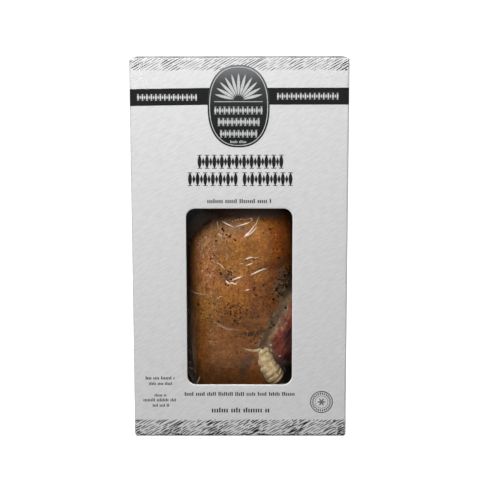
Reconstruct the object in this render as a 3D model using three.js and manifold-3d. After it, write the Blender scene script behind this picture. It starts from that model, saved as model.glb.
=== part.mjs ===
// A half roast duck in its retail box. The box is folded board, closed, with a rounded window
// die-cut in its front. Inside, the duck lies cut side down on a black film web, under a clear
// web that vacuum has drawn onto it.
//
// Millimetres. +Z is up, the window faces -Y, and the origin is the middle of the box's base.

import * as THREE from 'three';
import { mergeVertices } from 'three/addons/utils/BufferGeometryUtils.js';
import Module from 'manifold-3d';

const wasm = await Module();
wasm.setup();

// ---- driving dimensions ------------------------------------------------------------------

const BOX_WIDTH = 190;
const BOX_DEPTH = 64;
const BOX_HEIGHT = 338;
const BOARD_THICKNESS = 0.6;
const UPRIGHT_FOLD_RADIUS = 1.8; // the four upright edges
const LID_FOLD_RADIUS = 1.2; // the long edges of the lid and the base
const LID_END_RADIUS = 2.2; // their short edges, where the board is softened by the dust flaps

const WINDOW_WIDTH = 93.6;
const WINDOW_HEIGHT = 159;
const WINDOW_SILL = 48; // the window's lower edge, above the base
const WINDOW_OFFSET = -0.4; // its middle, beside the box's middle
const WINDOW_CORNER_RADIUS = 8;

const REST_GAP = 0.3; // left between solids that lie on each other
const WEB_THICKNESS = 0.5; // the black web with its sealed margin
const WEB_WIDTH = 178;
const WEB_HEIGHT = 316;
const WEB_CORNER_RADIUS = 9;

// The duck lies on its cut side. Its skin stands off that side as one long low dome, and the cut
// meat beside the leg as another. Half sizes are across and along the box; square is the power
// that squares the outline, and round the power that rounds its shoulder.
const BODY = { x: 1, z: 118, across: 49, along: 110, height: 45, square: 4, round: 2.2 };
const CUT_MEAT = { x: 44, z: 92, across: 25, along: 38, height: 41, square: 2.6, round: 2.2 };

// Soft swellings on that dome, and two hollows: by the flank, and where the breast's upper end
// rounds off. tight is how suddenly each ends.
const SWELLINGS = {
  breast: { x: 15, z: 172, across: 28, along: 25, height: 6, tight: 1.3 },
  thigh: { x: 2, z: 119, across: 23, along: 22, height: 6.5, tight: 1.2 },
  back: { x: -27, z: 142, across: 13, along: 30, height: 2.5, tight: 1 },
  drumstick: { x: 2, z: 62, across: 20, along: 18, height: 3.5, tight: 1.2 },
  flankHollow: { x: 40, z: 136, across: 11, along: 18, height: -3.5, tight: 1 },
  breastEnd: { x: -50, z: 203, across: 24, along: 26, height: -44, tight: 1.6 },
};

// Creases where the parts of the bird meet, each a straight furrow from one point (x, z) to another.
const CREASES = {
  breastSide: { from: [-24, 166], to: [-9, 140], depth: 1, width: 5 },
  breastFoot: { from: [-9, 140], to: [38, 151], depth: 1, width: 5 },
  thighSide: { from: [-20, 112], to: [-8, 97], depth: 0.5, width: 5 },
  thighFoot: { from: [-8, 97], to: [22, 92], depth: 0.6, width: 5 },
  shankFlap: { from: [5, 77], to: [20, 76], depth: 1, width: 3 },
};
const CREASE_FADE_HEIGHT = 20; // swellings and creases fade where the dome is lower than this

// The skin ends at a rim that runs down and left to the shank and then down and right again.
// Past the rim the surface steps down to the cut meat.
const RIM = { x: 22, z: 78, slopeAbove: 0.54, slopeBelow: 0.46, bend: 4 };
const RIM_SQUARENESS = 0.88; // how far across the rim one millimetre along x goes
const RIM_STEP = { from: -5, to: 9 };
const DUCK_MIDDLE = { x: 6, z: 118 }; // every part of the outline is seen from here
const DUCK_REACH = 140; // no part of the outline is further from that middle
const OUTLINE_STEPS = 116;
const SLOPE_STEPS = 30;
const OUTLINE_SCAN_STEP = 1;
const OUTLINE_BISECTIONS = 14;

// The shank's pale skin has shrunk into rings. It widens from the thigh down to the hock.
const SHANK_TOP = { x: 19, z: 77, height: 44 };
const SHANK_BEND = { x: 24, z: 66, height: 46 };
const SHANK_END = { x: 33, z: 53, height: 42 };
const SHANK_TOP_RADIUS = 5.2;
const SHANK_END_RADIUS = 8.6;
const SHANK_RINGS = 5;
const SHANK_RING_RELIEF = 0.7;
const SHANK_STEPS = 30;
const SHANK_SIDES = 14;

// ---- places worked out from them -----------------------------------------------------------

const BACK_WALL_Y = BOX_DEPTH / 2 - BOARD_THICKNESS; // the back panel's inner face
const WEB_BACK_Y = BACK_WALL_Y - REST_GAP;
const WEB_FRONT_Y = WEB_BACK_Y - WEB_THICKNESS;
const CUT_SIDE_Y = WEB_FRONT_Y - REST_GAP;
const WEB_BASE_Z = BOARD_THICKNESS + REST_GAP;

const FOLD_SEGMENTS = 4;
const CORNER_SEGMENTS = 8;
const CUTTER_REACH = 4; // how far the window's cutter runs past the board, each way

// ---- solids and geometries -----------------------------------------------------------------

/** Turns a closed geometry into a solid that can be joined and cut. */
function solidOf(geometry) {
  const bare = geometry.index ? geometry.toNonIndexed() : geometry.clone();
  bare.deleteAttribute('normal');
  bare.deleteAttribute('uv');
  const merged = mergeVertices(bare, 1e-4);
  return new wasm.Manifold(new wasm.Mesh({
    numProp: 3,
    vertProperties: new Float32Array(merged.attributes.position.array),
    triVerts: new Uint32Array(merged.index.array),
  }));
}

/** Turns a solid back into a geometry. */
function geometryOf(solid) {
  const { vertProperties, triVerts, numProp } = solid.getMesh();
  const positions = new Float32Array((vertProperties.length / numProp) * 3);
  for (let i = 0; i < positions.length / 3; i += 1) {
    positions.set(vertProperties.subarray(i * numProp, i * numProp + 3), i * 3);
  }
  const geometry = new THREE.BufferGeometry();
  geometry.setAttribute('position', new THREE.BufferAttribute(positions, 3));
  geometry.setIndex(new THREE.BufferAttribute(new Uint32Array(triVerts), 1));
  geometry.computeVertexNormals();
  return geometry;
}

/** A rectangle about the origin with round corners. */
function roundedRectangle(width, height, radius) {
  const right = width / 2;
  const top = height / 2;
  const shape = new THREE.Shape();
  shape.moveTo(right, radius - top);
  shape.absarc(right - radius, top - radius, radius, 0, Math.PI / 2);
  shape.absarc(radius - right, top - radius, radius, Math.PI / 2, Math.PI);
  shape.absarc(radius - right, radius - top, radius, Math.PI, Math.PI * 1.5);
  shape.absarc(right - radius, radius - top, radius, Math.PI * 1.5, Math.PI * 2);
  return shape;
}

/** A prism of the shape, centred on the origin, with its length along Z. */
function prism(shape, length, curveSegments) {
  const geometry = new THREE.ExtrudeGeometry(shape, { depth: length, bevelEnabled: false, curveSegments });
  geometry.translate(0, 0, -length / 2);
  return geometry;
}

/** A box centred on the origin, all its edges rounded, that lies inset from the whole box's faces. */
function foldedBox(inset) {
  const width = BOX_WIDTH - 2 * inset;
  const depth = BOX_DEPTH - 2 * inset;
  const height = BOX_HEIGHT - 2 * inset;
  const plan = prism(roundedRectangle(width, depth, UPRIGHT_FOLD_RADIUS - inset), height, FOLD_SEGMENTS);
  const front = prism(roundedRectangle(width, height, LID_END_RADIUS - inset), depth, FOLD_SEGMENTS);
  front.rotateX(Math.PI / 2);
  const side = prism(roundedRectangle(height, depth, LID_FOLD_RADIUS - inset), width, FOLD_SEGMENTS);
  side.rotateY(Math.PI / 2);
  return solidOf(plan).intersect(solidOf(front)).intersect(solidOf(side));
}

// ---- the box -------------------------------------------------------------------------------

/** The prism that the die cuts out of the front panel. */
function windowCutter() {
  const shape = roundedRectangle(WINDOW_WIDTH, WINDOW_HEIGHT, WINDOW_CORNER_RADIUS);
  const cutter = prism(shape, BOARD_THICKNESS + 2 * CUTTER_REACH, CORNER_SEGMENTS);
  cutter.rotateX(Math.PI / 2);
  cutter.translate(WINDOW_OFFSET, -BOX_DEPTH / 2 + BOARD_THICKNESS / 2, WINDOW_SILL + WINDOW_HEIGHT / 2);
  return solidOf(cutter);
}

/** The box: six closed panels of one board, open only at the window. */
function cartonGeometry() {
  const shell = foldedBox(0).subtract(foldedBox(BOARD_THICKNESS)).translate([0, 0, BOX_HEIGHT / 2]);
  return geometryOf(shell.subtract(windowCutter()));
}

// ---- the pouch's black web -----------------------------------------------------------------

/** The black web, standing on the box's base against its back panel. */
function blackWebGeometry() {
  const web = prism(roundedRectangle(WEB_WIDTH, WEB_HEIGHT, WEB_CORNER_RADIUS), WEB_THICKNESS, CORNER_SEGMENTS);
  web.rotateX(Math.PI / 2);
  web.translate(0, (WEB_BACK_Y + WEB_FRONT_Y) / 2, WEB_BASE_Z + WEB_HEIGHT / 2);
  return web;
}

// ---- the duck in its clear web ---------------------------------------------------------------

/** How high a dome stands off the cut side at (x, z). */
function domeHeight(dome, x, z) {
  const across = Math.abs((x - dome.x) / dome.across) ** dome.square;
  const along = Math.abs((z - dome.z) / dome.along) ** dome.square;
  return dome.height * Math.max(0, 1 - across - along) ** (1 / dome.round);
}

/** What the swellings add at (x, z). */
function swellingHeight(x, z) {
  let sum = 0;
  for (const { x: middleX, z: middleZ, across, along, height, tight } of Object.values(SWELLINGS)) {
    const away = ((x - middleX) / across) ** 2 + ((z - middleZ) / along) ** 2;
    sum += height * Math.exp(-(away ** tight));
  }
  return sum;
}

/** What the creases take away at (x, z). */
function creaseDepth(x, z) {
  let sum = 0;
  for (const { from, to, depth, width } of Object.values(CREASES)) {
    const run = [to[0] - from[0], to[1] - from[1]];
    const share = ((x - from[0]) * run[0] + (z - from[1]) * run[1]) / (run[0] ** 2 + run[1] ** 2);
    const nearest = THREE.MathUtils.clamp(share, 0, 1);
    const away = Math.hypot(x - from[0] - nearest * run[0], z - from[1] - nearest * run[1]);
    sum += depth * Math.exp(-((away / width) ** 2));
  }
  return sum;
}

/** How far past the skin's rim (x, z) lies; negative is on the skin. */
function pastRim(x, z) {
  const along = z - RIM.z;
  const slope = along > 0 ? RIM.slopeAbove : RIM.slopeBelow;
  return (x - RIM.x - slope * (Math.hypot(along, RIM.bend) - RIM.bend)) * RIM_SQUARENESS;
}

/** How high the duck stands off its cut side at (x, z): 0 outside it. */
function duckHeight(x, z) {
  const dome = domeHeight(BODY, x, z);
  const relief = (swellingHeight(x, z) - creaseDepth(x, z)) * Math.min(1, dome / CREASE_FADE_HEIGHT);
  const step = THREE.MathUtils.smoothstep(pastRim(x, z), RIM_STEP.from, RIM_STEP.to);
  return Math.max(0, (dome + relief) * (1 - step) + domeHeight(CUT_MEAT, x, z) * step);
}

/** How far the duck's outline is from its middle in one direction. */
function outlineRadius(angle) {
  const heightAt = (radius) => duckHeight(
    DUCK_MIDDLE.x + radius * Math.cos(angle),
    DUCK_MIDDLE.z + radius * Math.sin(angle),
  );
  let outer = DUCK_REACH;
  while (heightAt(outer - OUTLINE_SCAN_STEP) === 0) outer -= OUTLINE_SCAN_STEP;
  let inner = outer - OUTLINE_SCAN_STEP;
  for (let i = 0; i < OUTLINE_BISECTIONS; i += 1) {
    const middle = (inner + outer) / 2;
    if (heightAt(middle) > 0) inner = middle;
    else outer = middle;
  }
  return inner;
}

/** The body: domed in front, flat on its cut side. Its rings crowd together towards the steep rim. */
function bodyGeometry() {
  const positions = [DUCK_MIDDLE.x, CUT_SIDE_Y - duckHeight(DUCK_MIDDLE.x, DUCK_MIDDLE.z), DUCK_MIDDLE.z];
  const faces = [];
  for (let ring = 1; ring <= SLOPE_STEPS; ring += 1) {
    const share = Math.sin((Math.PI / 2) * (ring / SLOPE_STEPS));
    for (let step = 0; step < OUTLINE_STEPS; step += 1) {
      const angle = (step / OUTLINE_STEPS) * Math.PI * 2;
      const radius = outlineRadius(angle) * share;
      const x = DUCK_MIDDLE.x + radius * Math.cos(angle);
      const z = DUCK_MIDDLE.z + radius * Math.sin(angle);
      const height = ring === SLOPE_STEPS ? 0 : duckHeight(x, z);
      positions.push(x, CUT_SIDE_Y - height, z);
    }
  }
  const at = (ring, step) => 1 + (ring - 1) * OUTLINE_STEPS + (step % OUTLINE_STEPS);
  for (let step = 0; step < OUTLINE_STEPS; step += 1) {
    faces.push(0, at(1, step), at(1, step + 1));
    for (let ring = 1; ring < SLOPE_STEPS; ring += 1) {
      faces.push(at(ring, step), at(ring + 1, step), at(ring + 1, step + 1));
      faces.push(at(ring, step), at(ring + 1, step + 1), at(ring, step + 1));
    }
  }
  const backMiddle = positions.length / 3;
  positions.push(DUCK_MIDDLE.x, CUT_SIDE_Y, DUCK_MIDDLE.z);
  for (let step = 0; step < OUTLINE_STEPS; step += 1) {
    faces.push(backMiddle, at(SLOPE_STEPS, step + 1), at(SLOPE_STEPS, step));
  }
  const geometry = new THREE.BufferGeometry();
  geometry.setAttribute('position', new THREE.BufferAttribute(new Float32Array(positions), 3));
  geometry.setIndex(faces);
  return geometry;
}

/** The ringed shank: a tube along the bend of the leg whose radius swells at each ring. */
function shankGeometry() {
  const point = ({ x, z, height }) => new THREE.Vector3(x, CUT_SIDE_Y - height, z);
  const line = new THREE.CatmullRomCurve3([point(SHANK_TOP), point(SHANK_BEND), point(SHANK_END)]);
  const frames = line.computeFrenetFrames(SHANK_STEPS, false);
  const positions = [];
  const faces = [];
  for (let step = 0; step <= SHANK_STEPS; step += 1) {
    const share = step / SHANK_STEPS;
    const middle = line.getPoint(share);
    const ripple = SHANK_RING_RELIEF * Math.cos(share * SHANK_RINGS * Math.PI * 2);
    const radius = THREE.MathUtils.lerp(SHANK_TOP_RADIUS, SHANK_END_RADIUS, share) + ripple;
    for (let side = 0; side < SHANK_SIDES; side += 1) {
      const angle = (side / SHANK_SIDES) * Math.PI * 2;
      const out = frames.normals[step].clone().multiplyScalar(Math.cos(angle) * radius);
      out.addScaledVector(frames.binormals[step], Math.sin(angle) * radius);
      positions.push(middle.x + out.x, middle.y + out.y, middle.z + out.z);
    }
  }
  const at = (step, side) => step * SHANK_SIDES + (side % SHANK_SIDES);
  for (let side = 0; side < SHANK_SIDES; side += 1) {
    for (let step = 0; step < SHANK_STEPS; step += 1) {
      faces.push(at(step, side), at(step, side + 1), at(step + 1, side + 1));
      faces.push(at(step, side), at(step + 1, side + 1), at(step + 1, side));
    }
  }
  const topMiddle = positions.length / 3;
  const top = line.getPoint(0);
  const end = line.getPoint(1);
  positions.push(top.x, top.y, top.z, end.x, end.y, end.z);
  for (let side = 0; side < SHANK_SIDES; side += 1) {
    faces.push(topMiddle, at(0, side + 1), at(0, side));
    faces.push(topMiddle + 1, at(SHANK_STEPS, side), at(SHANK_STEPS, side + 1));
  }
  const geometry = new THREE.BufferGeometry();
  geometry.setAttribute('position', new THREE.BufferAttribute(new Float32Array(positions), 3));
  geometry.setIndex(faces);
  return geometry;
}

/** The half duck with its clear web drawn tight: the body and the shank as one solid. */
function baggedDuckGeometry() {
  return geometryOf(solidOf(bodyGeometry()).add(solidOf(shankGeometry())));
}

// ---- the whole -----------------------------------------------------------------------------

/** A named piece of the box. */
function piece(name, geometry, color, roughness) {
  const mesh = new THREE.Mesh(geometry, new THREE.MeshStandardMaterial({ color, roughness, metalness: 0 }));
  mesh.name = name;
  return mesh;
}

const group = new THREE.Group();
group.add(piece('carton', cartonGeometry(), '#dadbda', 0.6));
group.add(piece('black_web', blackWebGeometry(), '#141414', 0.35));
group.add(piece('bagged_half_duck', baggedDuckGeometry(), '#a5713f', 0.3));

export default group;
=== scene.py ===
"""Dresses a boxed half roast duck: printed board, vacuum film, roast skin, and a plain studio.

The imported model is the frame: +Z up, the window faces -Y, the origin under the middle of the box.
Blender works in metres. The classes below hold their sizes in millimetres, as a packer states
them, and mesh_piece turns them into metres.
"""

from __future__ import annotations

import logging
import math
from dataclasses import dataclass, field
from enum import Enum

import bmesh
import bpy
import numpy as np
from mathutils import Matrix, Vector
from mathutils.bvhtree import BVHTree

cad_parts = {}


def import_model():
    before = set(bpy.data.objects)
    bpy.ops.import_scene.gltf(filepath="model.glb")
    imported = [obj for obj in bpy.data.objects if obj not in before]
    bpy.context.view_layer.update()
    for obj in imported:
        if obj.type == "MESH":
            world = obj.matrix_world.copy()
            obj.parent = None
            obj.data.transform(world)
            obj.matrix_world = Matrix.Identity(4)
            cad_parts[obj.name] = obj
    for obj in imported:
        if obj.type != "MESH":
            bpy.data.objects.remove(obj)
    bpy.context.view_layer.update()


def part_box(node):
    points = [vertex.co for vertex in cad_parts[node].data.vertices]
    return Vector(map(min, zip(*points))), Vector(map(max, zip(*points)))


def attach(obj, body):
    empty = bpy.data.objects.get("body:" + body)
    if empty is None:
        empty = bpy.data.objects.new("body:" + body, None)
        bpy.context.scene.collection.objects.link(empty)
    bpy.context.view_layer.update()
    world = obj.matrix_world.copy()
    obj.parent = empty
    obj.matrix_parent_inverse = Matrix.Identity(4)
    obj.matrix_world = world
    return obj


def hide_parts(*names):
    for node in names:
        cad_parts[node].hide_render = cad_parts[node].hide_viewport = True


LOG = logging.getLogger("boxed_half_duck")
MM = 0.001
HAIR = 1e-6  # a distance that counts as none, in millimetres

Array = np.ndarray
Pair = tuple[float, float]
Triple = tuple[float, float, float]
Stops = tuple[tuple[float, str], ...]
Piece = bpy.types.Object
Tree = bpy.types.NodeTree
Socket = bpy.types.NodeSocket


class Slot(Enum):
    """The record's material slots."""

    BOARD = "board"
    BLACK_WEB = "black_web"
    DUCK_SKIN = "duck_skin"


class End(Enum):
    """The box's two closed ends."""

    LID = 1
    BASE = -1


class Pattern(Enum):
    """What a layer of skin colour follows: a soft noise, or the distance to the nearest pore."""

    NOISE = "TexNoise"
    PORES = "TexVoronoi"


# ---- small tools ----


def linear(hex_colour: str) -> tuple[float, float, float, float]:
    """Turns an sRGB hex colour into linear light.

    Args:
        hex_colour: six hex digits after a #.

    Returns:
        Red, green, blue and an alpha of 1.
    """
    values = [int(hex_colour[i : i + 2], 16) / 255 for i in (1, 3, 5)]
    light = [v / 12.92 if v <= 0.04045 else ((v + 0.055) / 1.055) ** 2.4 for v in values]
    return (*light, 1.0)


def smoothstep(low: float, high: float, value: Array) -> Array:
    """Rises smoothly from 0 at low to 1 at high."""
    share = np.clip((value - low) / (high - low), 0, 1)
    return share * share * (3 - 2 * share)


def blend(below: Array, colour: str, share: Array) -> Array:
    """Covers colours in linear light with another, by a share between 0 and 1 at each point."""
    part = np.clip(share, 0, 1)[..., None]
    return below * (1 - part) + np.array(linear(colour)[:3]) * part


def add_node(
    tree: Tree, kind: str, sockets: dict, out: str | int = 0, stops: Stops = (), **settings
) -> Socket | None:
    """Adds a shader node with its settings and links.

    Args:
        tree: the material's node tree.
        kind: the node's type, without "ShaderNode".
        sockets: values to set or outputs to link, by input name or number.
        out: the name or number of the output that is wanted.
        stops: a colour ramp's (position, hex colour) stops.
        settings: the node's own properties.

    Returns:
        The wanted output, or nothing where the node has none.
    """
    node = tree.nodes.new("ShaderNode" + kind)
    for name, value in settings.items():
        setattr(node, name, value)
    for key, value in sockets.items():
        if isinstance(value, Socket):
            tree.links.new(value, node.inputs[key])
        else:
            node.inputs[key].default_value = value
    for index, (position, colour) in enumerate(stops):
        ramp = node.color_ramp.elements
        stop = ramp[index] if index < len(ramp) else ramp.new(position)
        stop.position = position
        stop.color = linear(colour)
    return node.outputs[out] if len(node.outputs) else None


def grid_faces(rows: int, columns: int, closed: bool = False, first: int = 0) -> Array:
    """Quads between neighbouring rows of points that are numbered row by row.

    Args:
        rows: how many rows of points there are.
        columns: how many points a row has.
        closed: whether each row's last point joins its first.
        first: the first point's number.

    Returns:
        An array of quads.
    """
    row, column = np.meshgrid(np.arange(rows - 1), np.arange(columns - (not closed)), indexing="ij")
    near = first + row * columns + column
    after = first + row * columns + (column + 1) % columns
    return np.stack([near, after, after + columns, near + columns], -1).reshape(-1, 4)


def mesh_piece(name: str, points: Array, faces: list | Array, smooth: bool = True) -> Piece:
    """Makes a mesh object.

    Args:
        name: the piece's name.
        points: its points in millimetres, one row each.
        faces: the point numbers of each face.
        smooth: whether the faces are shaded smooth.

    Returns:
        The new object, linked to the scene.
    """
    mesh = bpy.data.meshes.new(name)
    corners = faces.tolist() if isinstance(faces, np.ndarray) else faces
    mesh.from_pydata((np.asarray(points) * MM).tolist(), [], corners)
    mesh.polygons.foreach_set("use_smooth", [smooth] * len(mesh.polygons))
    piece = bpy.data.objects.new(name, mesh)
    bpy.context.scene.collection.objects.link(piece)
    return piece


def face_outward(piece: Piece, sharpest: float = math.tau) -> None:
    """Turns a closed piece's faces outward, and marks the edges that turn by more than an angle sharp.

    Args:
        piece: the piece.
        sharpest: the angle, in radians.
    """
    shape = bmesh.new()
    shape.from_mesh(piece.data)
    bmesh.ops.recalc_face_normals(shape, faces=shape.faces)
    for edge in shape.edges:
        edge.smooth = len(edge.link_faces) == 2 and edge.calc_face_angle(0) < sharpest
    shape.to_mesh(piece.data)
    shape.free()


def set_attribute(piece: Piece, name: str, values: Array) -> None:
    """Stores one number, or one vector, for each point of a piece."""
    kind, key = ("FLOAT", "value") if values.ndim == 1 else ("FLOAT_VECTOR", "vector")
    attribute = piece.data.attributes.new(name, kind, "POINT")
    attribute.data.foreach_set(key, np.ascontiguousarray(values, np.float32).ravel())


def dress(piece: Piece, materials: list[bpy.types.Material], node: str = "") -> None:
    """Gives a piece its materials and its body, and lets it stand for a CAD node.

    Args:
        piece: the new piece.
        materials: its materials.
        node: the CAD node that it stands for, if it does.
    """
    for material in materials:
        piece.data.materials.append(material)
    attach(piece, "root")
    if node:
        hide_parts(node)
    LOG.info("%s: %d faces", piece.name, len(piece.data.polygons))


class LatticeNoise:
    """Smooth random relief in space, the same on every run."""

    SIDE = 24

    def __init__(self, seed: int) -> None:
        """Draws the lattice from a seed."""
        self.values = np.random.default_rng(seed).uniform(-1, 1, (self.SIDE,) * 3)

    def at(self, points: Array, cell: float | Triple) -> Array:
        """The relief at some points.

        Args:
            points: points in millimetres, three numbers each.
            cell: the size of one bump, or its sizes along X, Y and Z.

        Returns:
            Heights between -1 and 1.
        """
        place = points / np.asarray(cell, float)
        corner = np.floor(place).astype(int)
        share = place - corner
        share = share * share * (3 - 2 * share)
        total = np.zeros(points.shape[:-1])
        for step in np.ndindex(2, 2, 2):
            weight = np.prod(np.where(step, share, 1 - share), axis=-1)
            i, j, k = np.moveaxis((corner + step) % self.SIDE, -1, 0)
            total += weight * self.values[i, j, k]
        return total

    def mix(self, points: Array, grains: tuple[Pair, ...]) -> Array:
        """Adds up reliefs of several (height, cell) sizes at some points."""
        return sum(height * self.at(points, cell) for height, cell in grains)


def on_plane(x: Array, z: Array) -> Array:
    """Points (x, 0, z) of the picture plane, for a noise to be read at."""
    return np.stack([x, np.zeros_like(x), z], -1)


def smooth_line(points: tuple | list | Array, count: int) -> Array:
    """Runs a Catmull-Rom curve through some points.

    Args:
        points: the points that it passes through, at least two.
        count: how many points to return.

    Returns:
        Points spread evenly by share along the curve.
    """
    line = np.asarray(points, float)
    padded = np.vstack([2 * line[0] - line[1], line, 2 * line[-1] - line[-2]])
    share = np.linspace(0, len(line) - 1, count)
    span = np.minimum(share.astype(int), len(line) - 2)
    u = (share - span)[:, None]
    a, b, c, d = (padded[span + k] for k in range(4))
    return 0.5 * (2 * b + (c - a) * u + (2 * a - 5 * b + 4 * c - d) * u**2 + (3 * b - a - 3 * c + d) * u**3)


def ways(line: Array) -> tuple[Array, Array]:
    """The unit vectors along a flat line and across it, at each of its points."""
    along = np.gradient(line, axis=0)
    along /= np.linalg.norm(along, axis=1)[:, None]
    return along, np.stack([-along[:, 1], along[:, 0]], -1)


@dataclass(frozen=True)
class Spot:
    """A soft patch on a face, of relief, of colour, of pepper or of ink.

    Attributes:
        x: its middle.
        z: its middle.
        across: its half size one way.
        along: its half size the other way.
        strength: how much of it is felt in its middle.
        tight: how suddenly it ends.
        colour: its colour, if it has one.
        turn: how far it is turned, in degrees.
    """

    x: float
    z: float
    across: float
    along: float
    strength: float
    tight: float = 1.0
    colour: str = ""
    turn: float = 0.0

    def share(self, x: Array, z: Array) -> Array:
        """How much of the patch is felt at (x, z), times its strength.

        Args:
            x: the points' places across.
            z: their heights.

        Returns:
            The shares.
        """
        turn = math.radians(self.turn)
        u = (x - self.x) * math.cos(turn) + (z - self.z) * math.sin(turn)
        v = (z - self.z) * math.cos(turn) - (x - self.x) * math.sin(turn)
        away = (u / self.across) ** 2 + (v / self.along) ** 2
        return self.strength * np.exp(-(away**self.tight))


# ---- finishes ----


@dataclass(frozen=True)
class Finish:
    """A material: its name and how its nodes are wired."""

    name: str

    def material(self) -> bpy.types.Material:
        """Builds the material.

        Returns:
            The new material.
        """
        material = bpy.data.materials.new(self.name)
        material.use_nodes = True
        tree = material.node_tree
        tree.nodes.clear()
        add_node(tree, "OutputMaterial", {"Surface": self.surface(tree)})
        return material

    def surface(self, tree: Tree) -> Socket:
        """Wires the surface shader and returns its output.

        Args:
            tree: the material's node tree.

        Returns:
            The output that the material shows.
        """
        raise NotImplementedError


@dataclass(frozen=True)
class EmbossedBoard(Finish):
    """Coated white folding boxboard, roller-embossed with fine slanting brush strokes.

    The eye gets a cool white with a soft satin sheen that the strokes break up.
    """

    name: str = "embossed_boxboard"
    white: str = "#dddddd"
    shade: str = "#d3d3d3"
    roughness: float = 0.44
    stroke_length: float = 8.0
    stroke_pitch: float = 1.5
    slant: float = 29.0
    relief: float = 0.1

    def surface(self, tree: Tree) -> Socket:
        """Wires the board: strokes drive both the bump and a faint change of tone."""
        place = add_node(tree, "Attribute", {}, "Vector", attribute_name="blank_mm")
        turned = add_node(tree, "Mapping", {"Vector": place, "Rotation": (0, 0, -math.radians(self.slant))})
        scale = (1 / self.stroke_length, 1 / self.stroke_pitch, 1)
        squeezed = add_node(tree, "Mapping", {"Vector": turned, "Scale": scale})
        fine = {"Scale": 1.0, "Detail": 2.0, "Roughness": 0.55}
        strokes = add_node(tree, "TexNoise", {"Vector": squeezed} | fine)
        tone = add_node(tree, "ValToRGB", {"Fac": strokes}, stops=((0.35, self.shade), (0.62, self.white)))
        bump = add_node(tree, "Bump", {"Height": strokes, "Strength": 1.0, "Distance": self.relief * MM})
        return add_node(
            tree, "BsdfPrincipled", {"Base Color": tone, "Roughness": self.roughness, "Normal": bump}
        )


@dataclass(frozen=True)
class RawBoard(Finish):
    """The uncoated inner side of the board: matt, a little grey, with short fibres."""

    name: str = "uncoated_board_back"
    light: str = "#dcdad4"
    dark: str = "#cbc8c1"
    fibre: float = 1.6

    def surface(self, tree: Tree) -> Socket:
        """Wires matt fibres."""
        place = add_node(tree, "TexCoord", {}, "Object")
        fibres = add_node(tree, "TexNoise", {"Vector": place, "Scale": 1 / (self.fibre * MM), "Detail": 3.0})
        tone = add_node(tree, "ValToRGB", {"Fac": fibres}, stops=((0.3, self.dark), (0.7, self.light)))
        return add_node(tree, "BsdfPrincipled", {"Base Color": tone, "Roughness": 0.85})


@dataclass(frozen=True)
class PressedEdgeHighlight(Finish):
    """The board where the die pressed and cut it, in a white brighter than the board's face.

    That white is a painted highlight: the eye gets a thin light line round the window.
    """

    name: str = "die_pressed_edge_painted_highlight"
    white: str = "#f2f2f1"

    def surface(self, tree: Tree) -> Socket:
        """Wires a plain matt white."""
        return add_node(tree, "BsdfPrincipled", {"Base Color": linear(self.white), "Roughness": 0.7})


@dataclass(frozen=True)
class PrintInk(Finish):
    """Offset ink under a matt water varnish.

    The eye gets a soft charcoal rather than black, uneven by a few per cent where the board drinks it.
    """

    name: str = "charcoal_offset_ink"
    full: str = "#171818"
    thin: str = "#202121"
    roughness: float = 0.5
    mottle: float = 1.4

    def surface(self, tree: Tree) -> Socket:
        """Wires an even ink with a fine mottle."""
        place = add_node(tree, "Attribute", {}, "Vector", attribute_name="blank_mm")
        mottle = add_node(tree, "TexNoise", {"Vector": place, "Scale": 1 / self.mottle, "Detail": 2.0})
        tone = add_node(tree, "ValToRGB", {"Fac": mottle}, stops=((0.35, self.full), (0.7, self.thin)))
        return add_node(tree, "BsdfPrincipled", {"Base Color": tone, "Roughness": self.roughness})


@dataclass(frozen=True)
class InkPaleTowardsTop(PrintInk):
    """The same ink, mid grey at the top and full charcoal lower down."""

    name: str = "offset_ink_pale_towards_top"
    top: float = 328.0
    bottom: float = 268.0
    fade: Stops = ((0.0, "#151616"), (0.45, "#232424"), (0.8, "#444546"), (1.0, "#6f7071"))

    def surface(self, tree: Tree) -> Socket:
        """Wires a ramp that climbs with the height on the blank."""
        place = add_node(tree, "Attribute", {}, "Vector", attribute_name="blank_mm")
        height = add_node(tree, "SeparateXYZ", {"Vector": place}, "Y")
        share = add_node(tree, "MapRange", {"Value": height, "From Min": self.bottom, "From Max": self.top})
        tone = add_node(tree, "ValToRGB", {"Fac": share}, stops=self.fade)
        return add_node(tree, "BsdfPrincipled", {"Base Color": tone, "Roughness": self.roughness})


@dataclass(frozen=True)
class BlackFilm(Finish):
    """Coextruded black barrier film, calendered: deep grey-black with a broken, oily gloss."""

    name: str = "black_barrier_film"
    colour: str = "#2e2f2b"
    roughness: float = 0.32
    crinkle: float = 5.0
    relief: float = 0.6

    def surface(self, tree: Tree) -> Socket:
        """Wires a dark gloss with fine crinkles."""
        place = add_node(tree, "TexCoord", {}, "Object")
        scale = 1 / (self.crinkle * MM)
        crinkles = add_node(tree, "TexNoise", {"Vector": place, "Scale": scale, "Detail": 4.0})
        bump = add_node(tree, "Bump", {"Height": crinkles, "Strength": 0.6, "Distance": self.relief * MM})
        ground = linear(self.colour)
        return add_node(
            tree, "BsdfPrincipled", {"Base Color": ground, "Roughness": self.roughness, "Normal": bump}
        )


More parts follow.
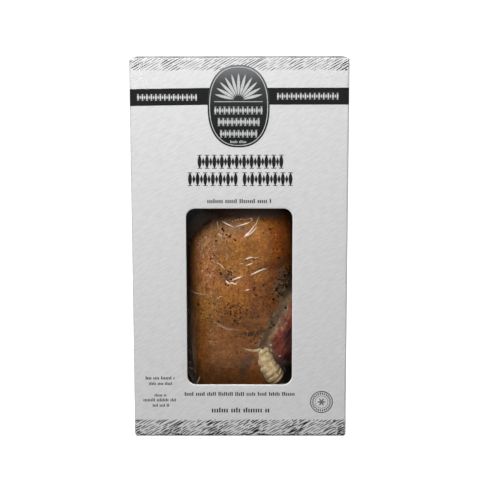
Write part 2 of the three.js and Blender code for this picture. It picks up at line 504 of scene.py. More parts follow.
@dataclass(frozen=True)
class ClearFilm(Finish):
    """Clear polyamide shrink film: no body of its own, a thin gloss, and a faint milkiness where slack."""

    name: str = "clear_shrink_film"
    milk: str = "#c9c4bb"
    roughness: float = 0.16
    grain: float = 1.8
    relief: float = 0.12
    haze: float = 0.012
    slack_haze: float = 0.045
    mirror: Pair = (0.04, 0.5)  # how much it mirrors face on and edge on

    def surface(self, tree: Tree) -> Socket:
        """Wires a see-through sheet with a gloss by angle and a haze by slackness."""
        place = add_node(tree, "TexCoord", {}, "Object")
        grain = add_node(tree, "TexNoise", {"Vector": place, "Scale": 1 / (self.grain * MM), "Detail": 3.0})
        bump = add_node(tree, "Bump", {"Height": grain, "Strength": 0.5, "Distance": self.relief * MM})
        slack = add_node(tree, "Attribute", {}, "Fac", attribute_name="slack")
        most = self.haze + self.slack_haze
        haze = add_node(tree, "MapRange", {"Value": slack, "To Min": self.haze, "To Max": most})
        clear = add_node(tree, "BsdfTransparent", {})
        milk = add_node(tree, "BsdfDiffuse", {"Color": linear(self.milk)})
        body = add_node(tree, "MixShader", {0: haze, 1: clear, 2: milk})
        white = linear("#ffffff")
        gloss = add_node(tree, "BsdfGlossy", {"Color": white, "Roughness": self.roughness, "Normal": bump})
        facing = add_node(tree, "LayerWeight", {"Blend": 0.5, "Normal": bump}, "Facing")
        grazing = add_node(tree, "Math", {0: facing, 1: 5.0}, operation="POWER")
        low, high = self.mirror
        mirror = add_node(tree, "MapRange", {"Value": grazing, "To Min": low, "To Max": high})
        return add_node(tree, "MixShader", {0: mirror, 1: body, 2: gloss})


@dataclass(frozen=True)
class CreaseHighlight(Finish):
    """A crease pressed into the clear film: its white is a painted highlight for the light that it catches,
    partly the film's own whitening.
    """

    name: str = "creased_film_painted_highlight"
    white: str = "#ffead6"
    roughness: float = 0.22

    def surface(self, tree: Tree) -> Socket:
        """Wires a painted white highlight, with gloss, that thins out with the crease."""
        strength = add_node(tree, "Attribute", {}, "Fac", attribute_name="crease")
        look = {"Base Color": linear(self.white), "Roughness": self.roughness}
        white = add_node(tree, "BsdfPrincipled", look)
        clear = add_node(tree, "BsdfTransparent", {})
        return add_node(tree, "MixShader", {0: strength, 1: clear, 2: white})


@dataclass(frozen=True)
class SkinLayer:
    """A tone that the skin's colour is multiplied by, place by place.

    Attributes:
        size: the pattern's size.
        stops: its tones, by the pattern's value.
        pattern: what it follows.
        roughness: how much of a noise's fine detail shows.
    """

    size: float
    stops: Stops
    pattern: Pattern = Pattern.NOISE
    roughness: float = 0.55

    def over(self, tree: Tree, below: Socket) -> tuple[Socket, Socket]:
        """Lays the layer over a colour.

        Args:
            tree: the material's node tree.
            below: the colour so far.

        Returns:
            The multiplied colour, and the pattern's own value.
        """
        sockets = {"Vector": add_node(tree, "TexCoord", {}, "Object"), "Scale": 1 / (self.size * MM)}
        if self.pattern is Pattern.NOISE:
            sockets |= {"Detail": 3.0, "Roughness": self.roughness}
        value = add_node(tree, self.pattern.value, sockets)
        tone = add_node(tree, "ValToRGB", {"Fac": value}, stops=self.stops)
        factors = {"Factor": 1.0, 6: below, 7: tone}
        return add_node(tree, "Mix", factors, 2, data_type="RGBA", blend_type="MULTIPLY"), value


@dataclass(frozen=True)
class RoastSkin(Finish):
    """Roast duck skin, basted and chilled: waxy fat under a thin brown crust.

    The eye gets golden brown that drifts between yellow and rose, dark feather pores in a paler
    network, and a fatty sheen.
    """

    name: str = "roast_duck_skin"
    drift: SkinLayer = SkinLayer(8.0, ((0.37, "#f6e0d3"), (0.5, "#f2e4d3"), (0.63, "#f4e9cd")))
    mottle: SkinLayer = SkinLayer(3.6, ((0.3, "#d0b8a4"), (0.5, "#e8dcd0"), (0.7, "#fff8f4")))
    grain: SkinLayer = SkinLayer(1.5, ((0.32, "#ceb4a0"), (0.5, "#dccab8"), (0.64, "#fffbff")))
    freckles: SkinLayer = SkinLayer(5.2, ((0.07, "#8c5c40"), (0.22, "#ffffff")), Pattern.PORES)
    pores: SkinLayer = SkinLayer(1.9, ((0.03, "#a07858"), (0.2, "#ffffff")), Pattern.PORES)
    pore_relief: float = 0.14
    grain_relief: float = 0.3
    roughness: float = 0.42
    fat_depth: float = 0.8  # how far light wanders in the fat

    def surface(self, tree: Tree) -> Socket:
        """Wires the painted roast colour with drifts, a mottle, a grain and pores."""
        tone = add_node(tree, "Attribute", {}, "Vector", attribute_name="roast")
        tone, _ = self.drift.over(tree, tone)
        tone, _ = self.mottle.over(tree, tone)
        tone, grain = self.grain.over(tree, tone)
        tone, _ = self.freckles.over(tree, tone)
        tone, pores = self.pores.over(tree, tone)
        depth = self.pore_relief * MM
        pitted = add_node(tree, "Bump", {"Height": pores, "Strength": 0.35, "Distance": depth})
        rough = {"Height": grain, "Normal": pitted, "Strength": 0.6, "Distance": self.grain_relief * MM}
        look = {"Base Color": tone, "Roughness": self.roughness, "Normal": add_node(tree, "Bump", rough)}
        look |= {"Subsurface Weight": 0.08, "Subsurface Scale": self.fat_depth * MM}
        return add_node(tree, "BsdfPrincipled", look | {"Subsurface Radius": (1.0, 0.45, 0.2)})


@dataclass(frozen=True)
class ShankSkin(Finish):
    """The shank's pale skin, shrunk into rings: creamy fat, with painted shade darkening the grooves."""

    name: str = "pale_shank_skin"
    groove: str = "#7c623e"
    cream: str = "#bca680"
    light: str = "#dccaa6"
    blotches: SkinLayer = SkinLayer(
        3.2, ((0.34, "#d0c2a2"), (0.5, "#eae2d4"), (0.64, "#fff6f2")), roughness=0.5
    )
    wrinkle: float = 1.3
    wrinkle_relief: float = 0.15
    fat_depth: float = 1.5

    def surface(self, tree: Tree) -> Socket:
        """Wires cream with painted shade in the grooves, and fine wrinkles."""
        crown = add_node(tree, "Attribute", {}, "Fac", attribute_name="crown")
        # painted shade: darker towards the grooves
        stops = ((0.0, self.groove), (0.45, self.cream), (1.0, self.light))
        tone, _ = self.blotches.over(tree, add_node(tree, "ValToRGB", {"Fac": crown}, stops=stops))
        place = add_node(tree, "TexCoord", {}, "Object")
        scale = 1 / (self.wrinkle * MM)
        wrinkles = add_node(tree, "TexNoise", {"Vector": place, "Scale": scale, "Detail": 4.0})
        relief = {"Height": wrinkles, "Strength": 0.5, "Distance": self.wrinkle_relief * MM}
        look = {"Base Color": tone, "Roughness": 0.4, "Normal": add_node(tree, "Bump", relief)}
        look |= {"Subsurface Weight": 0.2, "Subsurface Scale": self.fat_depth * MM}
        return add_node(tree, "BsdfPrincipled", look | {"Subsurface Radius": (1.0, 0.7, 0.4)})


@dataclass(frozen=True)
class CrackedPepper(Finish):
    """Cracked black pepper: matt, almost black, some grains showing a brown core."""

    name: str = "cracked_black_pepper"
    dark: str = "#120a05"
    brown: str = "#4c2e16"
    grain: float = 1.5

    def surface(self, tree: Tree) -> Socket:
        """Wires a dark grain-by-grain tone."""
        place = add_node(tree, "TexCoord", {}, "Object")
        grains = add_node(tree, "TexNoise", {"Vector": place, "Scale": 1 / (self.grain * MM), "Detail": 1.0})
        tone = add_node(tree, "ValToRGB", {"Fac": grains}, stops=((0.36, self.dark), (0.62, self.brown)))
        look = {"Base Color": tone, "Roughness": 0.85, "Specular IOR Level": 0.15}
        return add_node(tree, "BsdfPrincipled", look)


@dataclass(frozen=True)
class WhitePaper(Finish):
    """The studio's seamless white paper, lit from behind so that it stays an even white."""

    name: str = "white_paper"
    glow: float = 1.0
    grey: float = 0.5  # the share of light that the paper gives back

    def surface(self, tree: Tree) -> Socket:
        """Wires a glow over a diffuse paper."""
        light = add_node(tree, "Emission", {"Color": linear("#ffffff"), "Strength": self.glow})
        paper = add_node(tree, "BsdfDiffuse", {"Color": (self.grey, self.grey, self.grey, 1)})
        return add_node(tree, "AddShader", {0: light, 1: paper})


# ---- the box ----


@dataclass(frozen=True)
class FoldedPath:
    """A line of board seen edge-on: straight runs joined by round folds.

    Attributes:
        start: where it starts.
        heading: the way it sets off, in degrees.
        runs: each run's length and how far it turns, in degrees, to the left.
    """

    start: Pair
    heading: float
    runs: tuple[Pair, ...]

    def trace(self, distance: Array) -> tuple[Array, Array]:
        """Walks along the line.

        Args:
            distance: how far to go, for each point.

        Returns:
            The places and the headings there, in radians.
        """
        place = np.broadcast_to(np.array(self.start), distance.shape + (2,)).copy()
        heading = math.radians(self.heading)
        angle = np.full(distance.shape, heading)
        left = distance.astype(float)
        for index, (length, turn) in enumerate(self.runs):
            longest = None if index == len(self.runs) - 1 else length
            part = np.clip(left, 0, longest)
            if turn:
                radius = length / math.radians(turn)
                turned = part / radius
                bearing = heading + turned
                step = [np.sin(bearing) - math.sin(heading), math.cos(heading) - np.cos(bearing)]
                place += radius * np.stack(step, -1)
                angle += turned
            else:
                place += part[..., None] * np.array([math.cos(heading), math.sin(heading)])
            left = left - length
            heading += math.radians(turn)
        return place, angle


@dataclass(frozen=True)
class Blank:
    """The box's flat blank, and where each point of it lies once it is folded and glued.

    A point of the blank is s, its distance along the walls from the middle of the front panel,
    to the right, and t, its height. A lift is how far it stands outside the board's face.

    Attributes:
        width: the box's outer width.
        depth: its outer depth.
        height: its outer height.
        board: the board's thickness.
        upright_fold: the outer radius of the four upright folds.
        lid_fold: that of the long folds of the lid and the base.
        end_fold: that of their short ends, pressed soft by the dust flaps.
        inset: how far the board's face lies inside the box's outer size.
        tuck: the length of the tucks and of the glue flap.
        back_gap: how far the back panel's raw edge lies past the last corner's fold.
    """

    width: float
    depth: float
    height: float
    board: float = 0.6
    upright_fold: float = 1.8
    lid_fold: float = 1.2
    end_fold: float = 2.2
    inset: float = 0.04
    tuck: float = 14.0
    back_gap: float = 0.9

    @property
    def half_front(self) -> float:
        """From the front panel's middle to where its fold starts."""
        return self.width / 2 - self.upright_fold

    @property
    def fold_run(self) -> float:
        """The length of board in one upright fold."""
        return self.upright_fold * math.pi / 2

    @property
    def side_run(self) -> float:
        """The flat width of a side panel."""
        return self.depth - 2 * self.upright_fold

    @property
    def rear_fold(self) -> float:
        """From the front panel's middle to where the right rear fold starts."""
        return self.half_front + self.fold_run + self.side_run

    @property
    def lid_run(self) -> float:
        """The length of board in one fold of the lid."""
        return self.lid_fold * math.pi / 2

    @property
    def lid_flat(self) -> float:
        """The flat depth of the lid, between its folds."""
        return self.depth - 2 * self.lid_fold - self.board

    @property
    def lid_start(self) -> float:
        """The height on the front panel where the lid's fold starts."""
        return self.height - self.lid_fold

    @property
    def right_end(self) -> float:
        """Where the back panel's raw edge lies, past the rear left corner's fold."""
        return self.rear_fold + self.fold_run + 2 * self.half_front + self.back_gap

    @property
    def glue_line(self) -> float:
        """Where the left wall goes under the back panel, at the rear left corner."""
        return -(self.rear_fold + self.fold_run - self.board)

    def plan(self, s: Array) -> tuple[Array, Array]:
        """Where the walls run, seen from above, and the way that they face.

        Args:
            s: distances along the walls.

        Returns:
            Points and outward unit vectors in X and Y.
        """
        fold = (self.fold_run, 90.0)
        ahead = ((self.half_front, 0), fold)
        back = ((self.side_run, 0), fold, (2 * self.half_front, 0))
        flap = ((self.side_run - self.board, 0), fold, (self.tuck, 0))
        mirror = np.where(s < 0, -1.0, 1.0)
        sides = []
        for runs in (ahead + back, ahead + flap):
            place, angle = FoldedPath((0.0, -self.depth / 2), 0, runs).trace(np.abs(s))
            sides.append((place, np.stack([np.sin(angle), -np.cos(angle)], -1)))
        ground, facing = (np.where((s < 0)[..., None], left, right) for right, left in zip(*sides))
        ground[..., 0] *= mirror
        facing[..., 0] *= mirror
        return ground, facing

    def place(self, s: Array, t: Array, lift: Array | float = 0.0) -> Array:
        """Folds a point of the front, its lid and its base, or of the other walls.

        Args:
            s: distances along the walls.
            t: heights, past 0 and the box's height on the base and the lid.
            lift: how far outside the board's face the points stand.

        Returns:
            Points in millimetres.
        """
        s, t, lift = np.broadcast_arrays(s, t, np.asarray(lift) - self.inset)
        middle = self.height / 2
        side = np.where(t > middle, 1.0, -1.0)
        past = np.abs(t - middle) - (middle - self.lid_fold)
        past = np.where(np.abs(s) > self.half_front + self.fold_run, np.minimum(past, 0), past)
        fold = (self.lid_run, -90.0)
        lid = FoldedPath((0.0, 0.0), 90, (fold, (self.lid_flat, 0), fold, (self.tuck, 0)))
        reach, angle = lid.trace(np.maximum(past, 0))
        outward = np.sin(angle)
        ground, facing = self.plan(s)
        x = ground[..., 0] + facing[..., 0] * lift * outward
        y = ground[..., 1] + facing[..., 1] * lift * outward + reach[..., 0]
        rise = middle - self.lid_fold + np.minimum(past, 0) + reach[..., 1] + lift * np.cos(angle)
        return self.soften(np.stack([x, y, middle + side * rise], -1))

    def soften(self, points: Array) -> Array:
        """Presses the corners round, as seen from the front.

        Args:
            points: points of the folded box.

        Returns:
            The same points, moved where they lie in a corner.
        """
        centre = self.height / 2
        edge = self.width / 2 - self.end_fold
        reach = centre - self.end_fold
        over = np.abs(points[..., 0]) - edge
        up = np.abs(points[..., 2] - centre) - reach
        both = (over > 0) & (up > 0)
        squeeze = np.where(both, np.maximum(over, up) / np.hypot(over, up).clip(1e-6), 1.0)
        rounded_x = np.sign(points[..., 0]) * (edge + over * squeeze)
        rounded_z = centre + np.sign(points[..., 2] - centre) * (reach + up * squeeze)
        soft = points.copy()
        soft[..., 0] = np.where(both, rounded_x, points[..., 0])
        soft[..., 2] = np.where(both, rounded_z, points[..., 2])
        return soft


@dataclass(frozen=True)
class Window:
    """The rounded window die-cut in the front panel, and the edge that the die pressed in.

    The pressed lip is a list of (how far outside the edge, how deep).
    """

    width: float = 93.6
    height: float = 159.0
    sill: float = 48.0  # its lower edge, above the base
    offset: float = -0.4  # beside the box's middle
    corner: float = 8.0
    pressed: tuple[Pair, ...] = ((0.0, -0.8), (0.3, -0.42), (0.8, -0.12), (1.4, 0.0))

    @property
    def middle(self) -> Pair:
        """The window's middle on the blank."""
        return self.offset, self.sill + self.height / 2

    def edge(self, angles: Array, outside: float) -> Array:
        """Points round the window's edge, or a line a little outside it.

        Args:
            angles: the directions from the window's middle.
            outside: how far outside the edge the line runs.

        Returns:
            Points on the blank.
        """
        way = np.stack([np.cos(angles), np.sin(angles)], -1)
        half = np.array([self.width / 2, self.height / 2]) + outside
        radius = self.corner + outside
        straight = np.min(half / np.maximum(np.abs(way), 1e-9), axis=-1)
        centre = half - radius
        along = np.abs(way) @ centre
        rounded = along + np.sqrt(np.maximum(along**2 - centre @ centre + radius**2, 0))
        in_corner = np.all(np.abs(way) * straight[:, None] > centre, axis=-1)
        return np.array(self.middle) + way * np.where(in_corner, rounded, straight)[:, None]

    def corner_angles(self) -> list[Array]:
        """The directions of the points that its round corners need, from its middle.

        Returns:
            Angles in radians.
        """
        shares = np.linspace(0, self.corner, 9)
        return [
            np.arctan2(up * (self.height / 2 - rise), side * (self.width / 2 - run))
            for side in (-1, 1)
            for up in (-1, 1)
            for run, rise in zip(shares, shares[::-1])
        ]


@dataclass
class Carton:
    """The folded and glued box of one board, with its tucked ends and dust flaps."""

    blank: Blank
    window: Window = field(default_factory=Window)
    dust_flap: float = 30.0
    flap_taper: float = 0.12  # how fast the dust flaps narrow
    flap_play: float = 1.0  # how far their sides stay clear of the walls
    edge_steps: int = 220  # points round the window, besides its corners' own
    fold_shares: tuple[float, ...] = (0.0, 0.25, 0.5, 0.75, 1.0)  # a fold's lines
    ring_shares: tuple[float, ...] = (0.12, 0.35, 0.65, 1.0)  # the front's rings, from window to rim

    def build(self) -> None:
        """Makes the box as one piece, with its inner side in a finish of its own and its pressed edge in a
        painted highlight.
        """
        front, rim = self.front()
        half = self.blank.half_front - HAIR
        right, left = (self.places(rim[side * rim[:, 0] > half, 1]) for side in (1, -1))
        top = self.places(rim[rim[:, 1] > self.blank.lid_start - HAIR, 0])
        bottom = self.places(rim[rim[:, 1] < self.blank.lid_fold + HAIR, 0])
        flats = [front, self.wall(1, right), self.wall(-1, left)]
        flats += [self.end_panel(End.LID, top), self.end_panel(End.BASE, bottom)]
        points, faces, inner, place = self.assemble(flats)
        piece = mesh_piece("carton_board", points, faces)
        set_attribute(piece, "blank_mm", place)
        finishes = (EmbossedBoard(), RawBoard(), PressedEdgeHighlight())
        dress(piece, [finish.material() for finish in finishes], node="carton")
        # the pressed lip round the window gets the painted highlight
        lip = (len(self.window.pressed) - 2) * len(rim)
        inner[:lip] = finishes.index(PressedEdgeHighlight())
        piece.data.polygons.foreach_set("material_index", inner.astype(np.int32))
        face_outward(piece, math.radians(45))

    @staticmethod
    def places(values: Array) -> Array:
        """The different places along one side of the front panel's rim, in order."""
        return np.unique(np.round(values, 6))

    def front(self) -> tuple[tuple[Array, Array, Array], Array]:
        """The front panel as rings round the window.

        Returns:
            The panel's (blank points, lifts, faces), and its outer rim.
        """
        high = np.array([self.blank.half_front, self.blank.lid_start])
        low = np.array([-self.blank.half_front, self.blank.lid_fold])
        middle = np.array(self.window.middle)
        turn = 2 * math.pi
        edges = [(s, t) for s in (low[0], high[0]) for t in (low[1], high[1])]
        exact = np.mod([np.arctan2(t - middle[1], s - middle[0]) for s, t in edges], turn)
        even = np.linspace(0, turn, self.edge_steps, endpoint=False)
        arcs = np.mod(self.window.corner_angles(), turn)
        angles = np.unique(np.round(np.concatenate([even, exact, arcs]), 6))
        angles[np.abs(angles[:, None] - exact[None]).argmin(0)] = exact
        way = np.stack([np.cos(angles), np.sin(angles)], -1)
        with np.errstate(divide="ignore"):
            reach = np.where(way > 0, (high - middle) / way, (low - middle) / way)
        rim = middle + way * np.min(np.where(np.isfinite(reach), reach, np.inf), axis=-1)[:, None]
        rings = [self.window.edge(angles, outside) for outside, _ in self.window.pressed]
        lifts = [np.full(len(angles), lift) for _, lift in self.window.pressed]
        lip = rings[-1]
        for share in self.ring_shares:
            rings.append(lip * (1 - share) + rim * share)
            lifts.append(np.zeros(len(angles)))
        faces = grid_faces(len(rings), len(angles), closed=True)
        return (np.concatenate(rings), np.concatenate(lifts), faces), rim

    def wall(self, side: int, heights: Array) -> tuple[Array, Array, Array]:
        """The walls from a front fold to the blank's end.

        Args:
            side: 1 for the right and the back, -1 for the left and its glue flap.
            heights: the heights of the grid's rows.

        Returns:
            Blank points, lifts and faces.
        """
        blank = self.blank
        folds = np.array(self.fold_shares) * blank.fold_run
        first = blank.half_front + blank.fold_run
        second = blank.rear_fold - (blank.board if side < 0 else 0)
        end = blank.right_end if side > 0 else blank.tuck - blank.glue_line
        runs = [
            blank.half_front + folds,
            np.linspace(first, second, 7)[1:-1],
            second + folds,
            np.linspace(second + blank.fold_run, end, 9)[1:],
        ]
        return self.flat_sheet(side * np.concatenate(runs), heights)

    def end_panel(self, end: End, columns: Array) -> tuple[Array, Array, Array]:
        """The lid or the base: a panel folded from the front that tucks in at the back.

        Args:
            end: which one.
            columns: the distances along the front of the grid's columns.

        Returns:
            Blank points, lifts and faces.
        """
        blank = self.blank
        wings = blank.half_front + np.array(self.fold_shares[1:3]) * blank.fold_run
        folds = np.array(self.fold_shares) * blank.lid_run
        rear = blank.lid_run + blank.lid_flat
        flat = np.linspace(blank.lid_run, rear, 5)[1:-1]
        tuck = rear + blank.lid_run + np.array([0.5, 1.0]) * blank.tuck
        past = np.concatenate([folds, flat, rear + folds, tuck])
        rows = blank.lid_start + past if end is End.LID else blank.lid_fold - past
        return self.flat_sheet(np.concatenate([-wings[::-1], columns, wings]), rows)

    @staticmethod
    def flat_sheet(columns: Array, rows: Array) -> tuple[Array, Array, Array]:
        """A grid of the blank: its points, no lift, and its faces."""
        s, t = np.meshgrid(columns, rows)
        return np.stack([s.ravel(), t.ravel()], -1), np.zeros(s.size), grid_faces(*s.shape)

    def dust_flaps(self) -> list[tuple[Array, Array, Array]]:
        """The four flaps that fold in under the lid and over the base: outer and inner side, and faces.

        Returns:
            Each flap's outer points, its inner points and its faces.
        """
        blank = self.blank
        run = (blank.lid_fold - blank.board) * math.pi / 2
        path = FoldedPath((0.0, 0.0), 90, ((run, 90.0), (self.dust_flap, 0)))
        past = np.concatenate([np.linspace(0, run, 5), run + np.linspace(0.2, 1, 5) * self.dust_flap])
        half = blank.depth / 2 - blank.upright_fold - self.flap_play
        share, past = np.meshgrid(np.linspace(-1, 1, 9), past)
        reach, angle = path.trace(past)
        y = share * (half - self.flap_taper * np.maximum(past - run, 0))
        flaps = []
        for side in (-1, 1):
            for end in End:
                layers = []
                for lift in (-blank.inset, -blank.inset - blank.board):
                    x = blank.width / 2 + reach[..., 0] + lift * np.sin(angle)
                    rise = blank.height / 2 - blank.lid_fold + reach[..., 1] - lift * np.cos(angle)
                    z = blank.height / 2 + end.value * rise
                    layers.append(blank.soften(np.stack([side * x, y, z], -1)).reshape(-1, 3))
                flaps.append((*layers, grid_faces(*share.shape)))
        return flaps

    def assemble(self, flats: list[tuple[Array, Array, Array]]) -> tuple[Array, Array, Array, Array]:
        """Folds the sheets, joins them where they meet and gives them their thickness.

        Args:
            flats: each sheet's blank points, lifts and faces.

        Returns:
            Points, faces, whether each face is on the board's inner side, and blank places.
        """
        start = np.cumsum([0] + [len(flat[0]) for flat in flats])
        place, lift = (np.concatenate([flat[k] for flat in flats]) for k in (0, 1))
        faces = np.concatenate([flat[2] + first for flat, first in zip(flats, start)])
        outer = self.blank.place(place[:, 0], place[:, 1], lift)
        under = self.blank.place(place[:, 0], place[:, 1], lift - self.blank.board)
        _, first, twin = np.unique(np.round(outer, 3), axis=0, return_index=True, return_inverse=True)
        flaps = self.dust_flaps()
        sheets = [(outer[first], under[first], twin.reshape(-1)[faces]), *flaps]
        places = [place[first], *(flap[0][:, 1:] for flap in flaps)]
        points, quads, inner, marks, count = [], [], [], [], 0
        for (above, below, sheet), where in zip(sheets, places):
            edges = np.concatenate([sheet[:, [k, (k + 1) % 4]] for k in range(4)])
            size = len(above)
            lone = ~np.isin(edges[:, 0] * size + edges[:, 1], edges[:, 1] * size + edges[:, 0])
            a, b = edges[lone].T
            rim = np.stack([b, a, a + size, b + size], -1)
            for part, hidden in ((sheet, 0), (sheet[:, ::-1] + size, 1), (rim, 1)):
                quads.append(part + count)
                inner.append(np.full(len(part), hidden))
            points += [above, below]
            marks += [where, where]
            count += 2 * size
        flat = np.concatenate(marks)
        blank_mm = np.column_stack([flat, np.zeros(len(flat))])
        return np.concatenate(points), np.concatenate(quads), np.concatenate(inner), blank_mm


# ---- the print ----


@dataclass
class InkLayer:
    """A layer of flat ink shapes that lie on the folded board."""

    blank: Blank
    lift: float = 0.02  # how far the ink stands off the board's face
    points: list[Array] = field(default_factory=list)
    faces: list[list[int]] = field(default_factory=list)
    count: int = 0

    def add(self, points: Array, faces: list[list[int]] | Array) -> None:
        """Adds a shape by its blank points and faces.

        Args:
            points: the shape's points on the blank.
            faces: their numbers, face by face.
        """
        rows = faces.tolist() if isinstance(faces, np.ndarray) else faces
        self.faces += [[index + self.count for index in face] for face in rows]
        self.points.append(np.asarray(points, float))
        self.count += len(points)

    def outline(self, points: Array | list[Pair]) -> None:
        """Adds one flat outline."""
        self.add(np.asarray(points), [list(range(len(points)))])

    def lozenge(self, s: float, t: float, half_width: float, half_height: float) -> None:
        """Adds a lozenge standing on its point."""
        self.outline([(s + half_width, t), (s, t + half_height), (s - half_width, t), (s, t - half_height)])

    def bar(self, left: float, right: float, low: float, high: float) -> None:
        """Adds an upright rectangle."""
        self.outline([(left, low), (right, low), (right, high), (left, high)])

    def strip(self, lower: Array, upper: Array) -> None:
        """Adds a band between two lines of points."""
        self.add(np.concatenate([lower, upper]), grid_faces(2, len(lower)))

    def leaf(self, s: float, t: float, angle: float, length: float, half_width: float) -> None:
        """Adds a pointed leaf that starts at (s, t).

        Args:
            s: where its foot lies along the walls.
            t: how high that is.
            angle: the way it points, in radians.
            length: its length.
            half_width: half its greatest width.
        """
        share = np.linspace(0, 1, 9)
        swell = half_width * np.sin(math.pi * share) ** 0.8
        way = np.array([math.cos(angle), math.sin(angle)])
        across = np.array([-way[1], way[0]])
        spine = np.array([s, t]) + share[:, None] * length * way
        self.strip(spine - swell[:, None] * across, spine + swell[:, None] * across)

    def ring(self, s: float, t: float, outer: float, inner: float, steps: int = 72) -> None:
        """Adds a round ring."""
        angle = np.linspace(0, 2 * math.pi, steps + 1)
        way = np.stack([np.cos(angle), np.sin(angle)], -1)
        self.strip(np.array([s, t]) + way * outer, np.array([s, t]) + way * inner)

    def build(self, name: str, finish: Finish) -> None:
        """Folds the layer onto the box, as a piece of its own name and ink.

        Args:
            name: the piece's name.
            finish: its ink.
        """
        place = np.concatenate(self.points)
        points = self.blank.place(place[:, 0], place[:, 1], self.lift)
        piece = mesh_piece(name, points, self.faces, smooth=False)
        set_attribute(piece, "blank_mm", np.column_stack([place, np.zeros(len(place))]))
        dress(piece, [finish.material()])


@dataclass(frozen=True)
class Hatching:
    """A band of slanting pen strokes, thick and thin in a slow repeat.

    Attributes:
        low: the band's foot.
        high: its head.
        width: a stroke's usual width.
        swing: how much the width swings over one repeat.
        slant: the strokes' slope in degrees.
        pitch: the distance between strokes along the band.
        shortest: the shortest stroke.
        longest: the longest stroke.
        gap: the usual gap between strokes on one line.
        seed: seeds the strokes' lengths.
        knots: patches where the strokes are thicker.
        knots_only: whether strokes are drawn only inside the patches.
        unruly: how far the strokes lean and bow, as a share of their length.
        scatter: how far a line of strokes strays from its pitch.
        ragged: how unevenly the strokes start on the band's foot.
        least: the shortest rest of a stroke that is still drawn.
        widths: how much thinner and thicker than usual a stroke may be.
        gaps: how much smaller and larger than usual a gap may be.
    """

    low: float
    high: float
    width: float
    swing: float
    slant: float = 34.0
    pitch: float = 3.4
    shortest: float = 4.5
    longest: float = 11.0
    gap: float = 1.0
    seed: int = 5
    knots: tuple[Spot, ...] = ()
    knots_only: bool = False
    unruly: float = 0.0
    scatter: float = 0.12
    ragged: float = 1.2
    least: float = 1.5
    widths: Pair = (0.75, 1.2)
    gaps: Pair = (0.5, 1.6)

    @staticmethod
    def swell(s: Array | float) -> Array | float:
        """How the pen swells along the walls, between -1 and 1: once in every 37 mm."""
        return np.cos(2 * math.pi * (s + 60) / 37)

    def draw(self, ink: InkLayer, left: float, right: float, over: float = 0.0, under: float = 0.0) -> None:
        """Draws the strokes between two distances along the walls.

        Args:
            ink: the layer to draw on.
            left: where the band starts.
            right: where it ends.
            over: how far past the band's top the strokes may run, onto the lid.
            under: how far past its bottom, under the base.
        """
        draw = np.random.default_rng(self.seed)
        rise = math.sin(math.radians(self.slant))
        run = math.cos(math.radians(self.slant))
        low, high = self.low - under, self.high + over
        height = high - low
        start = math.floor((left - height * run / rise) / self.pitch)
        for index in range(start, math.ceil(right / self.pitch)):
            base = index * self.pitch + draw.normal(0, self.scatter)
            at = -draw.uniform(0, self.longest)
            while at * rise < height:
                length = draw.uniform(self.shortest, self.longest)
                s, t = base + run * (at + length / 2), low + rise * (at + length / 2)
                knot = sum(float(spot.share(s, t)) for spot in self.knots)
                width = self.width * (1 + self.swing * self.swell(s) + knot) * draw.uniform(*self.widths)
                foot = 0 if under else draw.uniform(0, self.ragged) / rise
                first = max(at, foot, (left - base) / run)
                last = min(at + length, height / rise, (right - base) / run)
                if last - first > self.least and (knot > 0.3 or not self.knots_only):
                    sway = (draw.normal(0, self.unruly), draw.normal(self.unruly, self.unruly))
                    self.stroke(ink, (base, low), (run, rise), (first, last), width, sway)
                at += length + self.gap * draw.uniform(*self.gaps)

    def stroke(self, ink: InkLayer, base: Pair, way: Pair, ends: Pair, width: float, sway: Pair) -> None:
        """Draws one tapered stroke near a slanting line, in shorter steps where it crosses a fold.

        Args:
            ink: the layer to draw on.
            base: where the line starts.
            way: its unit vector.
            ends: how far along the line the stroke starts and ends.
            width: its greatest width.
            sway: how far it leans and bows, as shares of its length.
        """
        blank = ink.blank
        first, last = ends
        sides = np.array([base[0] + way[0] * first, base[0] + way[0] * last])
        rises = np.array([base[1] + way[1] * first, base[1] + way[1] * last])
        past_side = (np.abs(sides) > blank.half_front - 1).any()
        near_fold = past_side or (rises > blank.height - 3).any() or rises[0] < 3
        steps = max(6, int((last - first) / 0.35)) if near_fold else 6
        share = np.linspace(0, 1, steps + 1)
        spine = np.array(base) + (first + (last - first) * share)[:, None] * np.array(way)
        normal = np.array([-way[1], way[0]])
        aside = (last - first) * (sway[0] * (share - 0.5) + sway[1] * 4 * share * (1 - share))
        spine += aside[:, None] * normal
        half = normal * width / 2 * np.maximum(np.sin(math.pi * share) ** 0.5, 0.12)[:, None]
        ink.strip(spine - half, spine + half)


@dataclass(frozen=True)
class Row:
    """A place for a row of ornament."""

    left: float
    right: float
    low: float
    high: float
    count: int = 0  # how many spindles it has, if it is a row of spindles


